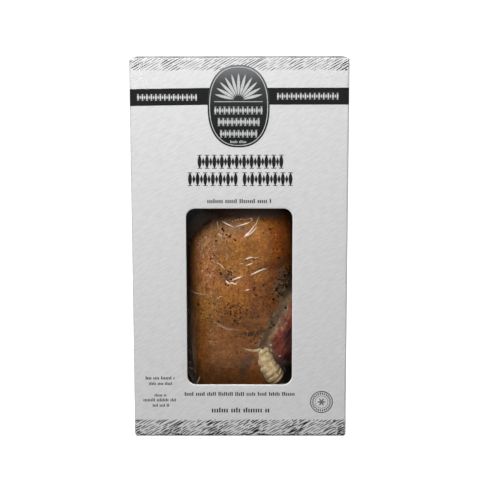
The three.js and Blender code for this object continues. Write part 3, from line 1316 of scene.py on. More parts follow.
@dataclass
class PrintedDesign:
    """Everything printed on the box: bands, ribbon, badge, ornament rows and fine print.

    The rows and the badge hold plain ornament: spindles, lozenges, a fan of leaves and rules.
    """

    blank: Blank
    ribbon: Pair = (297.8, 312.4)  # its foot and head
    ribbon_drop: float = 1.0  # how far it sinks at the left
    ribbon_bend: Pair = (27.0, 68.0)  # how far left of the middle it starts to sink, and over what length
    ribbon_rows: tuple[Row, ...] = (Row(-88.6, -36.6, 301.5, 307.1, 14), Row(32.4, 85.7, 302.3, 307.9, 14))
    badge_middle: Pair = (-0.7, 296.4)
    badge_half: Pair = (26.9, 35.6)  # half its width and half its height
    badge_squareness: float = 2.35  # 2 makes an ellipse, more makes it squarer
    badge_keyline: Pair = (1.45, 2.1)  # how far inside the edge the pale line starts and ends
    badge_fan: Pair = (-0.7, 301.6)  # the point that the leaves open from
    fan_angles: Pair = (14.0, 166.0)
    fan_leaves: int = 11
    badge_rule: Row = Row(-21.9, 20.1, 300.2, 300.8)
    badge_rows: tuple[Row, ...] = (
        Row(-21.9, 20.1, 289.6, 296.2, 11),
        Row(-18.9, 17.6, 279.5, 286.4, 10),
        Row(-17.0, 15.5, 269.5, 276.0, 9),
    )
    badge_ticks: Row = Row(-8.0, 6.4, 264.3, 266.9)
    title_rows: tuple[Row, ...] = (
        Row(-36.8, 38.3, 242.3, 254.4, 12),
        Row(-45.2, -1.5, 227.1, 239.0, 7),
        Row(2.5, 46.4, 227.1, 239.0, 7),
    )
    fine_rows: tuple[Row, ...] = (
        Row(-28.3, 27.9, 211.4, 215.6),
        Row(-49.6, 49.3, 37.2, 41.2),
        Row(-25.4, 26.4, 21.6, 26.8),
        Row(-84.5, -58.2, 52.3, 55.6),
        Row(-81.5, -61.0, 47.3, 50.4),
        Row(-76.7, -66.5, 36.7, 39.6),
        Row(-86.7, -57.1, 32.1, 35.3),
        Row(-78.4, -64.5, 27.2, 30.2),
    )
    seal_middle: Pair = (73.0, 31.9)
    seal_radius: float = 10.2

    def build(self) -> None:
        """Prints every layer."""
        self.bands()
        self.ribbon_band()
        self.badge()
        title = InkLayer(self.blank)
        for row in self.title_rows:
            self.spindles(title, row)
        title.build("title_ornament", PrintInk(name="title_offset_ink"))
        fine = InkLayer(self.blank)
        for index, row in enumerate(self.fine_rows):
            self.ticks(fine, row, seed=20 + index)
        fine.build("fine_print", PrintInk(name="fine_print_ink", full="#141515", thin="#1c1d1d"))
        self.seal()

    def wall_fields(self) -> list[Pair]:
        """The stretches of wall beside the front panel, up to the blank's ends."""
        edge = self.blank.half_front + self.blank.fold_run / 2
        return [(self.blank.glue_line, -edge), (edge, self.blank.right_end - 0.5)]

    def bands(self) -> None:
        """Prints the hatched bands round the top, over the lid, and round the base."""
        blank = self.blank
        corner = (Spot(-89, 328, 4, 4.5, 1.3, 2.0), Spot(-84, 325, 3, 2, 0.8), Spot(90, 329, 6, 4, 0.7))
        clumps = tuple(Spot(s, 6.2, 7.5, 4.0, 0.55, 1.5) for s in np.arange(-171, 200, 37))
        top = Hatching(326.6, blank.lid_start, 0.57, 0.3, 30, 3.75, 8, 22, knots=corner, unruly=0.014)
        base = Hatching(1.2, 15.6, 0.9, 0.28, 30, 3.85, longest=15, gap=0.7, seed=9, unruly=0.04)
        fill = Hatching(1.4, 9.0, 0.3, 0.0, 25, 2.3, 3, 8, seed=4, knots=clumps, knots_only=True)
        ink = InkLayer(blank)
        (left, low), (high, right) = self.wall_fields()
        top.draw(ink, low, high, over=blank.depth - blank.lid_fold)
        base.draw(ink, low, high, under=2.0)
        fill.draw(ink, low, high)
        self.ground_line(ink)
        for start, end in ((left, low), (high, right)):
            top.draw(ink, start, end)
            base.draw(ink, start, end)
        ink.build("hatched_bands", PrintInk(name="hatching_offset_ink"))

    def ground_line(self, ink: InkLayer) -> None:
        """Prints the uneven line that the base's strokes stand on, along the front.

        Args:
            ink: the layer to draw on.
        """
        s = np.linspace(-self.blank.half_front, self.blank.half_front, 240)
        half = (0.5 + 0.36 * Hatching.swell(s) + 0.12 * np.sin(s * 1.3)).clip(0.03)
        foot = 1.6 + 0.25 * np.sin(s * 0.42)
        ink.strip(np.stack([s, foot - half], -1), np.stack([s, foot + half], -1))

    def ribbon_band(self) -> None:
        """Prints the dark ribbon round the box, with two light ornament rows on its front."""
        ink = InkLayer(self.blank)
        low, high = self.ribbon
        (left, _), (_, right) = self.wall_fields()
        fold, turn, rear = self.blank.half_front, self.blank.fold_run, self.blank.rear_fold
        stops = (left, 1 - rear, -fold - turn, -fold, fold, fold + turn, rear, rear + turn, right)
        counts = (14, 10, 14, 24, 14, 10, 14, 14)
        runs = [np.linspace(start, end, count) for start, end, count in zip(stops, stops[1:], counts)]
        s = np.unique(np.round(np.concatenate(runs), 4))
        bend, run = self.ribbon_bend
        drop = self.ribbon_drop * np.clip(-(s + bend) / run, 0, 1)
        ink.strip(np.stack([s, low - drop], -1), np.stack([s, high - drop], -1))
        ink.build("ribbon_band", PrintInk(name="ribbon_offset_ink"))
        light = InkLayer(self.blank, lift=0.03)
        for row in self.ribbon_rows:
            self.spindles(light, row)
        light.build("ribbon_ornament", PrintInk(name="knocked_out_white", full="#c9cbca", thin="#d6d8d7"))

    def badge_outline(self, inset: float, steps: int = 120) -> Array:
        """Points round the badge, or a line inside it.

        Args:
            inset: how far inside the badge's edge the line runs.
            steps: how many points it has.

        Returns:
            Points on the blank.
        """
        angle = np.linspace(0, 2 * math.pi, steps, endpoint=False)
        way = np.stack([np.cos(angle), np.sin(angle)], -1)
        shape = np.sign(way) * np.abs(way) ** (2 / self.badge_squareness)
        return np.array(self.badge_middle) + shape * (np.array(self.badge_half) - inset)

    def badge(self) -> None:
        """Prints the badge: a dark oval with a light keyline, a fan of leaves and rows of ornament."""
        dark = InkLayer(self.blank, lift=0.028)
        dark.outline(self.badge_outline(0))
        dark.build("badge_field", InkPaleTowardsTop())
        light = InkLayer(self.blank, lift=0.036)
        outer, inner = (self.badge_outline(inset) for inset in self.badge_keyline)
        light.strip(np.vstack([outer, outer[:1]]), np.vstack([inner, inner[:1]]))
        s, t = self.badge_fan
        for angle in np.radians(np.linspace(*self.fan_angles, self.fan_leaves)):
            across, up = math.cos(angle), math.sin(angle)
            light.leaf(s + 4.0 * across, t + 4.0 * up, angle, 16.5 + 3.0 * up, 1.25)
        rule = self.badge_rule
        light.bar(rule.left, rule.right, rule.low, rule.high)
        for row in self.badge_rows:
            self.spindles(light, row)
        self.ticks(light, self.badge_ticks, seed=31)
        light.build("badge_ornament", PrintInk(name="badge_pale_ink", full="#b7b9b9", thin="#cfd1d0"))

    @staticmethod
    def spindles(ink: InkLayer, row: Row) -> None:
        """Prints a row of upright spindles and lozenges, with short rules at the spindles' ends.

        Args:
            ink: the layer to draw on.
            row: the row's place and count.
        """
        tall = row.high - row.low
        serif, line = 0.16 * tall, 0.055 * tall
        places = np.linspace(row.left + serif, row.right - serif, row.count)
        for s in places:
            ink.leaf(s, row.low, math.pi / 2, tall, 0.145 * tall)
            ink.bar(s - serif, s + serif, row.low, row.low + line)
            ink.bar(s - serif, s + serif, row.high - line, row.high)
        for s in (places[:-1] + places[1:]) / 2:
            ink.lozenge(s, (row.low + row.high) / 2, 0.12 * tall, 0.33 * tall)

    @staticmethod
    def ticks(ink: InkLayer, row: Row, seed: int) -> None:
        """Prints a row of fine upright ticks in groups of random length, as plain filler.

        Args:
            ink: the layer to draw on.
            row: the row's place.
            seed: seeds the groups.
        """
        draw = np.random.default_rng(seed)
        rise = row.high - row.low
        pitch = 0.42 * rise
        at = row.left
        while at < row.right:
            for _ in range(int(draw.integers(4, 9))):
                if at < row.right:
                    head = row.low + rise * draw.choice([0.78, 0.78, 1.0])
                    ink.bar(at, at + 0.25 * rise, row.low + 0.12 * rise, head)
                at += pitch
            at += pitch

    def seal(self) -> None:
        """Prints the round seal: two rings, a circle of small leaves and a six-leafed rosette."""
        ink = InkLayer(self.blank)
        s, t = self.seal_middle
        radius = self.seal_radius
        ink.ring(s, t, radius, radius - 0.85)
        ink.ring(s, t, radius * 0.58, radius * 0.58 - 0.4)
        for angle in np.linspace(0, 2 * math.pi, 26, endpoint=False):
            reach = radius * 0.66
            ink.leaf(s + reach * math.cos(angle), t + reach * math.sin(angle), angle, 2.2, 0.62)
        for angle in np.linspace(0, 2 * math.pi, 6, endpoint=False):
            ink.leaf(s, t, angle, radius * 0.38, 0.6)
        ink.build("round_seal", PrintInk(name="seal_ink", full="#424444", thin="#4e5050"))


# ---- the duck ----


@dataclass(frozen=True)
class Dome:
    """A long dome on the cut side, squarer than an ellipse."""

    x: float
    z: float
    across: float
    along: float
    height: float
    square: float  # how square its outline is; 2 makes an ellipse
    round: float  # how flat its top is; 2 makes it round

    def rise(self, x: Array, z: Array) -> Array:
        """How high it stands at (x, z)."""
        aside, ahead = np.abs((x - self.x) / self.across), np.abs((z - self.z) / self.along)
        away = aside**self.square + ahead**self.square
        return self.height * np.maximum(0, 1 - away) ** (1 / self.round)


@dataclass(frozen=True)
class Furrow:
    """A crease in the skin along a short line, of relief or of colour."""

    line: tuple[Pair, ...]
    depth: float  # or how much of its colour is felt
    width: float  # to either side
    colour: str = ""

    def share(self, x: Array, z: Array) -> Array:
        """How deep it is at (x, z).

        Args:
            x: the points' places across.
            z: their heights.

        Returns:
            The depths.
        """
        nearest = np.full(np.shape(x), np.inf)
        for (x0, z0), (x1, z1) in zip(self.line, self.line[1:]):
            run = np.array([x1 - x0, z1 - z0])
            along = np.clip(((x - x0) * run[0] + (z - z0) * run[1]) / (run @ run), 0, 1)
            nearest = np.minimum(nearest, np.hypot(x - x0 - along * run[0], z - z0 - along * run[1]))
        return self.depth * np.exp(-((nearest / self.width) ** 2))


@dataclass
class HalfDuck:
    """The half duck, cut side down: one long dome with swellings, creases and a stepped rim."""

    cut_side: float  # where its flat cut side lies along Y
    body: Dome = Dome(1, 118, 49, 110, 45, 4, 2.2)
    cut_meat: Dome = Dome(44, 91, 25, 40, 41, 2.6, 2.2)
    fade: float = 20.0  # the height from which the swellings stand in full
    rim: Pair = (22.0, 78.0)  # the foremost point of the skin's rim
    rim_slopes: Pair = (0.54, 0.46)  # how the rim leans above and below that point
    rim_bend: float = 4.0  # how softly it turns there
    rim_squareness: float = 0.88  # turns a distance along X into one square to the rim
    rim_step: Pair = (-5.0, 9.0)  # where the step down to the meat starts and ends
    middle: Pair = (6.0, 118.0)  # where the mesh's rings are centred
    around: int = 460  # points in a ring
    outward: int = 190  # rings
    swellings: tuple[Spot, ...] = (
        Spot(15, 172, 28, 25, 6.0, 1.3),
        Spot(2, 119, 23, 22, 6.5, 1.2),
        Spot(-27, 142, 13, 30, 2.5),
        Spot(2, 62, 20, 18, 3.5, 1.2),
        Spot(40, 136, 11, 18, -3.5),
        Spot(-50, 203, 24, 26, -44, 1.6),
    )
    creases: tuple[Furrow, ...] = (
        Furrow(((-24, 166), (-9, 140)), 1.0, 5),
        Furrow(((-9, 140), (38, 151)), 1.0, 5),
        Furrow(((-20, 112), (-8, 97)), 0.5, 5),
        Furrow(((-8, 97), (22, 92)), 0.6, 5),
        Furrow(((5, 77), (20, 76)), 1.0, 3),
    )
    wrinkles: tuple[Furrow, ...] = (
        Furrow(((-22, 160), (-15, 150), (-10, 139)), 0.35, 1.2),
        Furrow(((-10, 139), (-3, 141), (8, 146), (24, 152)), 0.4, 1.3),
        Furrow(((12, 152), (22, 156), (33, 155)), 0.2, 1.1),
        Furrow(((6, 104), (16, 106), (24, 104)), 0.3, 1.0),
        Furrow(((3, 91), (12, 89), (22, 92)), 0.4, 1.4),
        Furrow(((-22, 101), (-11, 95), (-3, 93)), 0.25, 0.9),
        Furrow(((30, 140), (37, 133), (42, 122)), 0.5, 1.6),
        Furrow(((6, 70), (13, 64), (18, 54)), 0.7, 2.2),
    )
    tones: tuple[Spot, ...] = (
        Spot(5, 172, 24, 24, 2.2, 1.2, "#bc8a3c"),
        Spot(0, 152, 16, 10, 2.4, 1.2, "#d4a454"),
        Spot(38, 165, 12, 26, 3.4, 1.4, "#b0641c"),
        # painted light: lifts the breast's right edge where the dome turns away from the light
        Spot(48, 168, 6, 18, 5.0, 1.4, "#dc9048"),
        Spot(-26, 180, 16, 12, 2.6, 1.2, "#c8ac8c"),
        Spot(-34, 148, 14, 20, 2.6, 1.3, "#c8966c"),
        Spot(-30, 116, 14, 16, 1.8, 1.2, "#b89458"),
        Spot(-2, 126, 14, 12, 2.8, 1.2, "#be8426"),
        Spot(-6, 113, 11, 9, 1.8, 1.2, "#a06b1c"),
        Spot(22, 122, 12, 15, 2.4, 1.2, "#8c5d28"),
        Spot(14, 101, 14, 8, 1.6, 1.2, "#966b35"),
        Spot(-20, 84, 16, 18, 2.4, 1.2, "#987045"),
        Spot(0, 88, 13, 10, 2.6, 1.2, "#8c5e28"),
        Spot(-4, 60, 14, 12, 1.8, 1.2, "#755331"),
        Spot(-26, 52, 18, 14, 2.8, 1.2, "#604228"),
        Spot(14, 48, 9, 9, 2.2, 1.2, "#70431f"),
        Spot(-9, 145, 5, 8, 2.8, 1.4, "#a07a68", -30),
        Spot(-12, 189, 18, 6, 2.8, 1.4, "#8c786c", -12),
    )
    # lines of colour: the dark ones that follow the creases and folds are painted shade, and the pale one
    # beside the lower fold is a painted highlight
    stains_and_painted_light: tuple[Furrow, ...] = (
        Furrow(((4, 142), (10, 141), (12, 132)), 0.5, 3.2, "#8a3a10"),
        Furrow(((24, 153), (36, 151), (45, 158)), 0.5, 3.5, "#6e3510"),
        Furrow(((-22, 158), (-17, 149), (-12, 141)), 0.32, 2.6, "#4e2c1c"),
        Furrow(((8, 108), (16, 110), (24, 109)), 0.4, 1.8, "#74453c"),
        Furrow(((4, 91), (12, 89), (20, 92)), 0.45, 2.2, "#4a3626"),
        Furrow(((8, 69), (5, 60), (2, 50)), 0.8, 4.5, "#584440"),
        Furrow(((-22, 101), (-12, 96), (-2, 94)), 0.35, 1.8, "#b88e62"),
        Furrow(((-38, 116), (-38, 96), (-36, 76)), 0.4, 3.0, "#8a5a20"),
        Furrow(((-44, 34), (30, 33)), 0.5, 8.0, "#4c2e1a"),
    )
    gain: Triple = (1.22, 1.41, 1.4)  # what red, green and blue are multiplied by at last
    flank: Spot = Spot(42, 131, 11, 21, 1.0, 1.5, "#989088", 12)
    base_tone: str = "#a46f32"
    fat_tone: str = "#8e8680"
    # pale fat on the rim's step: partly the fat's own colour and partly painted light that lifts the shade
    # where the step turns away
    pale_fat_and_painted_light: tuple[Spot, ...] = (
        Spot(27, 87, 6, 14, 1.0, 1.6, "#b8a89c", -26),
        Spot(39, 117, 3.5, 9, 0.7, 1.4, "#b4a69c", -55),
        Spot(33, 104, 3.5, 9, 0.5, 1.4, "#a89c90", -30),
    )
    meat_tone: str = "#94483a"
    deep_meat_and_shade_tone: str = "#46141a"
    sinew_tone: str = "#c8a498"
    # painted shade: the skin darkens where it turns away from the light, low over the cut side
    turn_under_shade_tone: str = "#20150e"
    turn_under_shade_heights: Pair = (4.0, 25.0)  # between these the skin darkens as it turns under
    misted: Spot = Spot(-28, 191, 16, 8, 0.8, 1.3, "#6e5a50", 20)
    # painted shadow that the window's top edge casts towards the neck's end
    top_shadow_heights: Pair = (190.0, 199.0)  # and between these towards the neck's end
    top_shadow_tone: str = "#2c231e"
    rim_heading: Pair = (0.47, 0.88)  # the way along the rim, which the meat's fibres follow

    def past_rim(self, x: Array, z: Array) -> Array:
        """How far past the skin's rim (x, z) lies; negative is on the skin.

        Args:
            x: the points' places across.
            z: their heights.

        Returns:
            Distances square to the rim.
        """
        along = z - self.rim[1]
        slope = np.where(along > 0, *self.rim_slopes)
        bend = np.hypot(along, self.rim_bend) - self.rim_bend
        return (x - self.rim[0] - slope * bend) * self.rim_squareness

    def main_height(self, x: Array, z: Array) -> Array:
        """The duck's main form: how high it stands off its cut side at (x, z).

        Args:
            x: the points' places across.
            z: their heights.

        Returns:
            Heights over the cut side.
        """
        dome = self.body.rise(x, z)
        relief = sum(spot.share(x, z) for spot in self.swellings) - sum(c.share(x, z) for c in self.creases)
        step = smoothstep(*self.rim_step, self.past_rim(x, z))
        skin = dome + relief * np.minimum(1, dome / self.fade)
        return np.maximum(0, skin * (1 - step) + self.cut_meat.rise(x, z) * step)

    def fine_height(self, x: Array, z: Array, main: Array) -> Array:
        """What wrinkles, gooseflesh, fat lumps and meat fibres add to the main form.

        Args:
            x: the points' places across.
            z: their heights.
            main: the main form's height there.

        Returns:
            Heights to add.
        """
        noise = LatticeNoise(3)
        flat = on_plane(x, z)
        past = self.past_rim(x, z)
        meat = smoothstep(4.0, 8.0, past)
        bumps = noise.mix(flat, ((0.45, 13.0), (0.22, 5.5), (0.10, 2.2), (0.05, 1.1)))
        fibres = 0.4 * self.fibre(x, z, noise, 1.6, 10.0) + 0.8 * self.fibre(x, z, noise, 6.0, 15.0)
        lumps = 0.6 * noise.at(flat, 4.0) * np.exp(-(((past - 2.0) / 4.0) ** 2))
        wrinkles = sum(line.share(x, z) for line in self.wrinkles)
        relief = (bumps - wrinkles) * (1 - meat) + fibres * meat + lumps
        return relief * np.minimum(1, main / 8.0)

    def outline(self, angles: Array) -> Array:
        """How far the outline is from the duck's middle in some directions.

        Args:
            angles: the directions, in radians.

        Returns:
            A distance for each direction.
        """
        way = np.stack([np.cos(angles), np.sin(angles)], -1)
        reaches = np.arange(20, 140, 0.5)
        points = np.array(self.middle) + reaches[:, None, None] * way
        inside = self.main_height(points[..., 0], points[..., 1]) > 0
        return reaches[len(reaches) - 1 - inside[::-1].argmax(0)]

    def fibre(self, x: Array, z: Array, noise: LatticeNoise, across: float, along: float) -> Array:
        """A relief of long fibres that run beside the skin's rim."""
        run = x * self.rim_heading[0] + z * self.rim_heading[1]
        side = x * self.rim_heading[1] - z * self.rim_heading[0]
        return noise.at(on_plane(side / across, run / along), 1.0)

    def skin_colour(self, x: Array, z: Array, noise: LatticeNoise, wander: Array, past: Array) -> Array:
        """The skin's colour at (x, z), in linear light: patches, stains, painted shade and highlight along
        the creases, and fat towards the rim.

        Args:
            x: the points' places across.
            z: their heights.
            noise: the noise that breaks the colour up.
            wander: how far the patches stray from their places at each point.
            past: how far past the rim each point lies.

        Returns:
            The colours.
        """
        flat = on_plane(x, z)
        u, v = x + wander[..., 0], z + wander[..., 1]
        colour = np.broadcast_to(np.array(linear(self.base_tone)[:3]), x.shape + (3,)).copy()
        weight = np.ones(x.shape + (1,))
        for spot in self.tones:
            share = spot.share(u, v)[..., None]
            colour += share * np.array(linear(spot.colour)[:3])
            weight += share
        colour /= weight
        pale = (1 - np.abs(noise.at(flat + 60, 8.0))) ** 9
        dark = (1 - np.abs(noise.at(flat + 150, 6.5))) ** 9
        colour *= (1 + 0.14 * noise.at(flat + 200, 6.0) + 0.3 * pale - 0.24 * dark)[..., None]
        # stains, painted shade along the creases and a painted highlight beside the lower fold
        for line_tone in self.stains_and_painted_light:
            share = line_tone.share(x + wander[..., 0] / 4, z + wander[..., 1] / 4)
            colour = blend(colour, line_tone.colour, share)
        colour = blend(colour, self.flank.colour, self.flank.share(u, v))
        colour = blend(colour, self.fat_tone, smoothstep(-9.0, -4.0, past))
        # pale fat, partly painted light that lifts the shade on the rim's step
        for spot in self.pale_fat_and_painted_light:
            colour = blend(colour, spot.colour, spot.share(x, z) * smoothstep(-8.0, -4.0, past))
        return colour

    def meat_colour(self, x: Array, z: Array, noise: LatticeNoise, past: Array) -> Array:
        """The cut meat's colour at (x, z), in linear light: red fibres, pale sinews and painted shade along
        its right edge.

        Args:
            x: the points' places across.
            z: their heights.
            noise: the noise that breaks the colour up.
            past: how far past the rim each point lies.

        Returns:
            The colours.
        """
        flat = on_plane(x, z)
        red = self.fibre(x, z, noise, 2.4, 12.0) + 0.09 * (past - 14.0)
        # painted shade along the meat's right edge
        red += 1.4 * smoothstep(37.0, 45.0, x) * smoothstep(100.0, 84.0, z)
        meat = np.broadcast_to(np.array(linear(self.meat_tone)[:3]), x.shape + (3,))
        meat = blend(meat, self.deep_meat_and_shade_tone, smoothstep(-0.5, 0.9, red))
        sinew = smoothstep(0.2, 0.8, self.fibre(x + 50, z, noise, 1.6, 9.0)) * smoothstep(17.0, 6.0, past)
        meat = blend(meat, self.sinew_tone, 0.55 * sinew)
        return meat * (0.96 + 0.5 * noise.at(flat + 30, 1.4) + 0.3 * noise.at(flat + 90, 3.0))[..., None]

    def tone(self, x: Array, z: Array, height: Array) -> Array:
        """The roast colour at (x, z), as linear light, with painted shade where the skin turns under and a
        painted shadow towards the neck's end.

        Args:
            x: the points' places across.
            z: their heights.
            height: how high they stand over the cut side.

        Returns:
            The colours.
        """
        noise = LatticeNoise(11)
        flat = on_plane(x, z)
        wander = 3.5 * np.stack([noise.at(flat, 11.0), noise.at(flat + 100, 11.0)], -1)
        past = self.past_rim(x, z) + noise.mix(flat, ((1.3, 4.0), (0.6, 1.7)))
        share = smoothstep(3.5, 8.0, past + 1.5 * noise.at(flat, 5.0))
        skin = self.skin_colour(x, z, noise, wander, past)
        meat = self.meat_colour(x, z, noise, past)
        colour = skin * (1 - share[..., None]) + meat * share[..., None]
        # painted shade where the skin turns away from the light
        under = 1 - smoothstep(*self.turn_under_shade_heights, height + 5 * noise.at(flat, 5.0))
        # painted shadow of the window's top edge, towards the neck's end
        top = smoothstep(*self.top_shadow_heights, z + 1.5 * noise.at(flat, 5.0) - 0.05 * x)
        colour = blend(colour, self.turn_under_shade_tone, 0.92 * under * (1 - 0.75 * share))
        colour = blend(colour, self.top_shadow_tone, 0.92 * top)
        mist = self.misted.share(x + wander[..., 0], z + wander[..., 1])
        return np.array(self.gain) * blend(colour, self.misted.colour, mist)

    def build(self) -> Piece:
        """Makes the duck's body: rings from its middle to its outline, and the flat cut side.

        Returns:
            The new piece.
        """
        angles = np.linspace(0, 2 * math.pi, self.around, endpoint=False)
        reach = self.outline(angles)
        share = np.sin(math.pi / 2 * np.linspace(0, 1, self.outward + 1)[1:])
        x = self.middle[0] + share[:, None] * reach * np.cos(angles)
        z = self.middle[1] + share[:, None] * reach * np.sin(angles)
        height = self.main_height(x, z)
        height = np.maximum(height + self.fine_height(x, z, height), 0)
        height[-1] = 0
        ring = np.stack([x, self.cut_side - height, z], -1).reshape(-1, 3)
        ends = [(self.middle[0], self.cut_side - rise, self.middle[1]) for rise in (height[0].mean(), 0)]
        points = np.vstack([ends[0], ring, ends[1]])
        faces = grid_faces(self.outward, self.around, closed=True, first=1)[:, ::-1].tolist()
        last = 1 + (self.outward - 1) * self.around
        for k in range(self.around):
            after = (k + 1) % self.around
            faces.append([1 + k, 1 + after, 0])
            faces.append([last + after, last + k, len(points) - 1])
        piece = mesh_piece("half_duck_body", points, faces)
        set_attribute(piece, "roast", self.tone(points[:, 0], points[:, 2], self.cut_side - points[:, 1]))
        return piece


@dataclass
class Shank:
    """The leg's pale shank: a sleeve of skin that has shrunk into rings.

    Its line holds X, Z and the height over the cut side; the flap of skin at its top holds X, Z
    and half its width.
    """

    duck: HalfDuck
    line: tuple[Triple, ...] = (
        (20.2, 74.5, 38.0),
        (22.0, 68.2, 41.5),
        (25.4, 60.7, 43.5),
        (28.6, 55.2, 44.0),
        (31.2, 51.2, 43.5),
        (33.7, 48.0, 42.5),
    )
    radii: tuple[float, ...] = (6.2, 7.2, 7.7, 8.1, 8.3, 7.6)
    rings: int = 6
    relief: float = 1.0
    flap: tuple[Triple, ...] = (
        (1.8, 77.9, 0.3),
        (5.4, 76.4, 0.6),
        (10.0, 75.2, 0.9),
        (15.0, 75.0, 1.3),
        (20.0, 75.4, 1.9),
        (25.5, 73.6, 2.4),
    )
    steps: int = 190
    sides: int = 84

    def build(self) -> list[Piece]:
        """Makes the ringed sleeve and the torn edge of skin that runs from its top onto the thigh."""
        return [self.tube("ringed_shank", *self.sleeve()), self.tube("shank_skin_edge", *self.torn_edge())]

    def sleeve(self) -> tuple[Array, Array]:
        """The sleeve's points, ring by ring, and how pale each is: darker towards a groove's bottom, painted
        shade, and darker towards the end.

        Returns:
            Points in rows of rings, and a number between 0 and 1 for each.
        """
        noise = LatticeNoise(8)
        line = smooth_line([(x, self.duck.cut_side - height, z) for x, z, height in self.line], self.steps)
        radius = smooth_line(np.array(self.radii)[:, None], self.steps)[:, 0]
        tangent = np.gradient(line, axis=0)
        tangent /= np.linalg.norm(tangent, axis=1)[:, None]
        side = np.cross(tangent, [0.0, 1.0, 0.0])
        side /= np.linalg.norm(side, axis=1)[:, None]
        front = np.cross(side, tangent)
        angle = np.linspace(0, 2 * math.pi, self.sides, endpoint=False)
        share = np.linspace(0, 1, self.steps)
        around = np.stack([np.cos(angle) * 1.6, np.sin(angle) * 1.6, angle * 0], -1)[None]
        lean = 0.03 * np.cos(angle)[None, :] + 0.022 * noise.at(around + share[:, None, None] * 7, 1.0)
        phase = (share[:, None] + lean) * self.rings
        crown = np.abs(np.sin(math.pi * phase)) ** 0.7
        strength = 0.65 + 0.5 * noise.at(around * 0.7 + 30 + share[:, None, None] * 5, 1.0)
        dents = 0.3 * noise.at(around * 1.5 + 60 + share[:, None, None] * 16, 1.0)
        ends = np.minimum(1, np.minimum(share, 1 - share) / 0.05)[:, None] ** 0.5
        thick = (radius[:, None] + self.relief * strength * (2 * crown - 1.2) + dents) * ends
        points = line[:, None] + (thick * np.cos(angle))[..., None] * side[:, None]
        points += (thick * np.sin(angle))[..., None] * front[:, None]
        shade = (1 - 0.55 * smoothstep(0.45, 1.0, share))[:, None]
        return points, (1 - strength * (1 - crown)) * shade

    def torn_edge(self) -> tuple[Array, Array]:
        """The torn edge's points, ring by ring, and how pale each is.

        Returns:
            Points in rows of rings, and a number between 0 and 1 for each.
        """
        noise = LatticeNoise(14)
        x, z, half = smooth_line(self.flap, 60).T
        spine = np.stack([x, z], -1)
        _, across = ways(spine)
        angle = np.linspace(0, 2 * math.pi, 20, endpoint=False)
        half = half * (1 + 0.25 * noise.at(on_plane(x, z), 2.2))
        place = spine[:, None] + across[:, None] * (np.cos(angle)[None, :, None] * half[:, None, None])
        rise = self.duck.main_height(place[..., 0], place[..., 1])
        rise += np.minimum(half, 1.1)[:, None] * np.sin(angle)
        points = np.stack([place[..., 0], self.duck.cut_side - rise, place[..., 1]], -1)
        pale = np.linspace(0.25, 0.8, len(x))[:, None] + 0.3 * np.cos(angle)
        return points, pale

    def tube(self, name: str, rings: Array, crown: Array) -> Piece:
        """Closes rings of points into a piece in shank skin.

        Args:
            name: the piece's name.
            rings: the points, ring by ring.
            crown: how pale each point is.

        Returns:
            The new piece.
        """
        rows, sides = rings.shape[:2]
        points = rings.reshape(-1, 3)
        faces = grid_faces(rows, sides, closed=True).tolist()
        faces.append(list(range(sides))[::-1])
        faces.append(list(range(len(points) - sides, len(points))))
        piece = mesh_piece(name, points, faces)
        set_attribute(piece, "crown", np.clip(crown, 0, 1).ravel())
        face_outward(piece)
        dress(piece, [ShankSkin().material()])
        return piece


@dataclass
class Relief:
    """The height of some meshes over the black web, on a square grid seen from the front."""

    low: Pair
    size: Pair
    step: float
    base: float  # where height 0 lies along Y
    heights: Array = field(default_factory=lambda: np.zeros((1, 1)))

    @property
    def x(self) -> Array:
        """The grid's columns."""
        return np.arange(self.low[0], self.low[0] + self.size[0] + self.step / 2, self.step)

    @property
    def z(self) -> Array:
        """The grid's rows."""
        return np.arange(self.low[1], self.low[1] + self.size[1] + self.step / 2, self.step)

    def measure(self, pieces: list[Piece]) -> None:
        """Looks along +Y at the pieces and keeps the height of what is seen first.

        Args:
            pieces: the pieces to look at.
        """
        heights = np.zeros((len(self.z), len(self.x)))
        for piece in pieces:
            tree = BVHTree.FromObject(piece, bpy.context.evaluated_depsgraph_get())
            for row, z in enumerate(self.z):
                for column, x in enumerate(self.x):
                    hit, *_ = tree.ray_cast(Vector((x * MM, -0.2, z * MM)), Vector((0, 1, 0)))
                    if hit is not None:
                        heights[row, column] = max(heights[row, column], self.base - hit.y / MM)
        self.heights = heights

    def at(self, x: Array, z: Array, heights: Array | None = None) -> Array:
        """The height at some points, read between the grid's own.

        Args:
            x: the points' places across.
            z: their heights.
            heights: another sheet's heights on the same grid.

        Returns:
            The heights.
        """
        grid = self.heights if heights is None else heights
        u = np.clip((np.asarray(x) - self.low[0]) / self.step, 0, grid.shape[1] - 1.001)
        v = np.clip((np.asarray(z) - self.low[1]) / self.step, 0, grid.shape[0] - 1.001)
        i, j = u.astype(int), v.astype(int)
        a, b = u - i, v - j
        lower = grid[j, i] * (1 - a) + grid[j, i + 1] * a
        upper = grid[j + 1, i] * (1 - a) + grid[j + 1, i + 1] * a
        return lower * (1 - b) + upper * b


@dataclass(frozen=True)
class PepperDrift:
    """A patch where the cracked pepper lies thicker.

    Attributes:
        x: its middle.
        z: its middle.
        across: how far it spreads one way.
        along: how far it spreads the other way.
        count: how many grains it has.
        scale: how large they are beside the usual grain.
        turn: how far it is turned, in degrees.
    """

    x: float
    z: float
    across: float
    along: float
    count: int
    scale: float = 1.0
    turn: float = 0.0

    def grains(self, draw: np.random.Generator) -> Array:
        """Draws each grain's (x, z, half size).

        Args:
            draw: the source of chance.

        Returns:
            One row for each grain.
        """
        turn = math.radians(self.turn)
        u = draw.normal(0, self.across * 0.62, self.count)
        v = draw.normal(0, self.along * 0.62, self.count)
        x = self.x + u * math.cos(turn) - v * math.sin(turn)
        z = self.z + u * math.sin(turn) + v * math.cos(turn)
        return np.stack([x, z, self.scale * draw.uniform(0.25, 0.9, self.count) ** 1.25], -1)


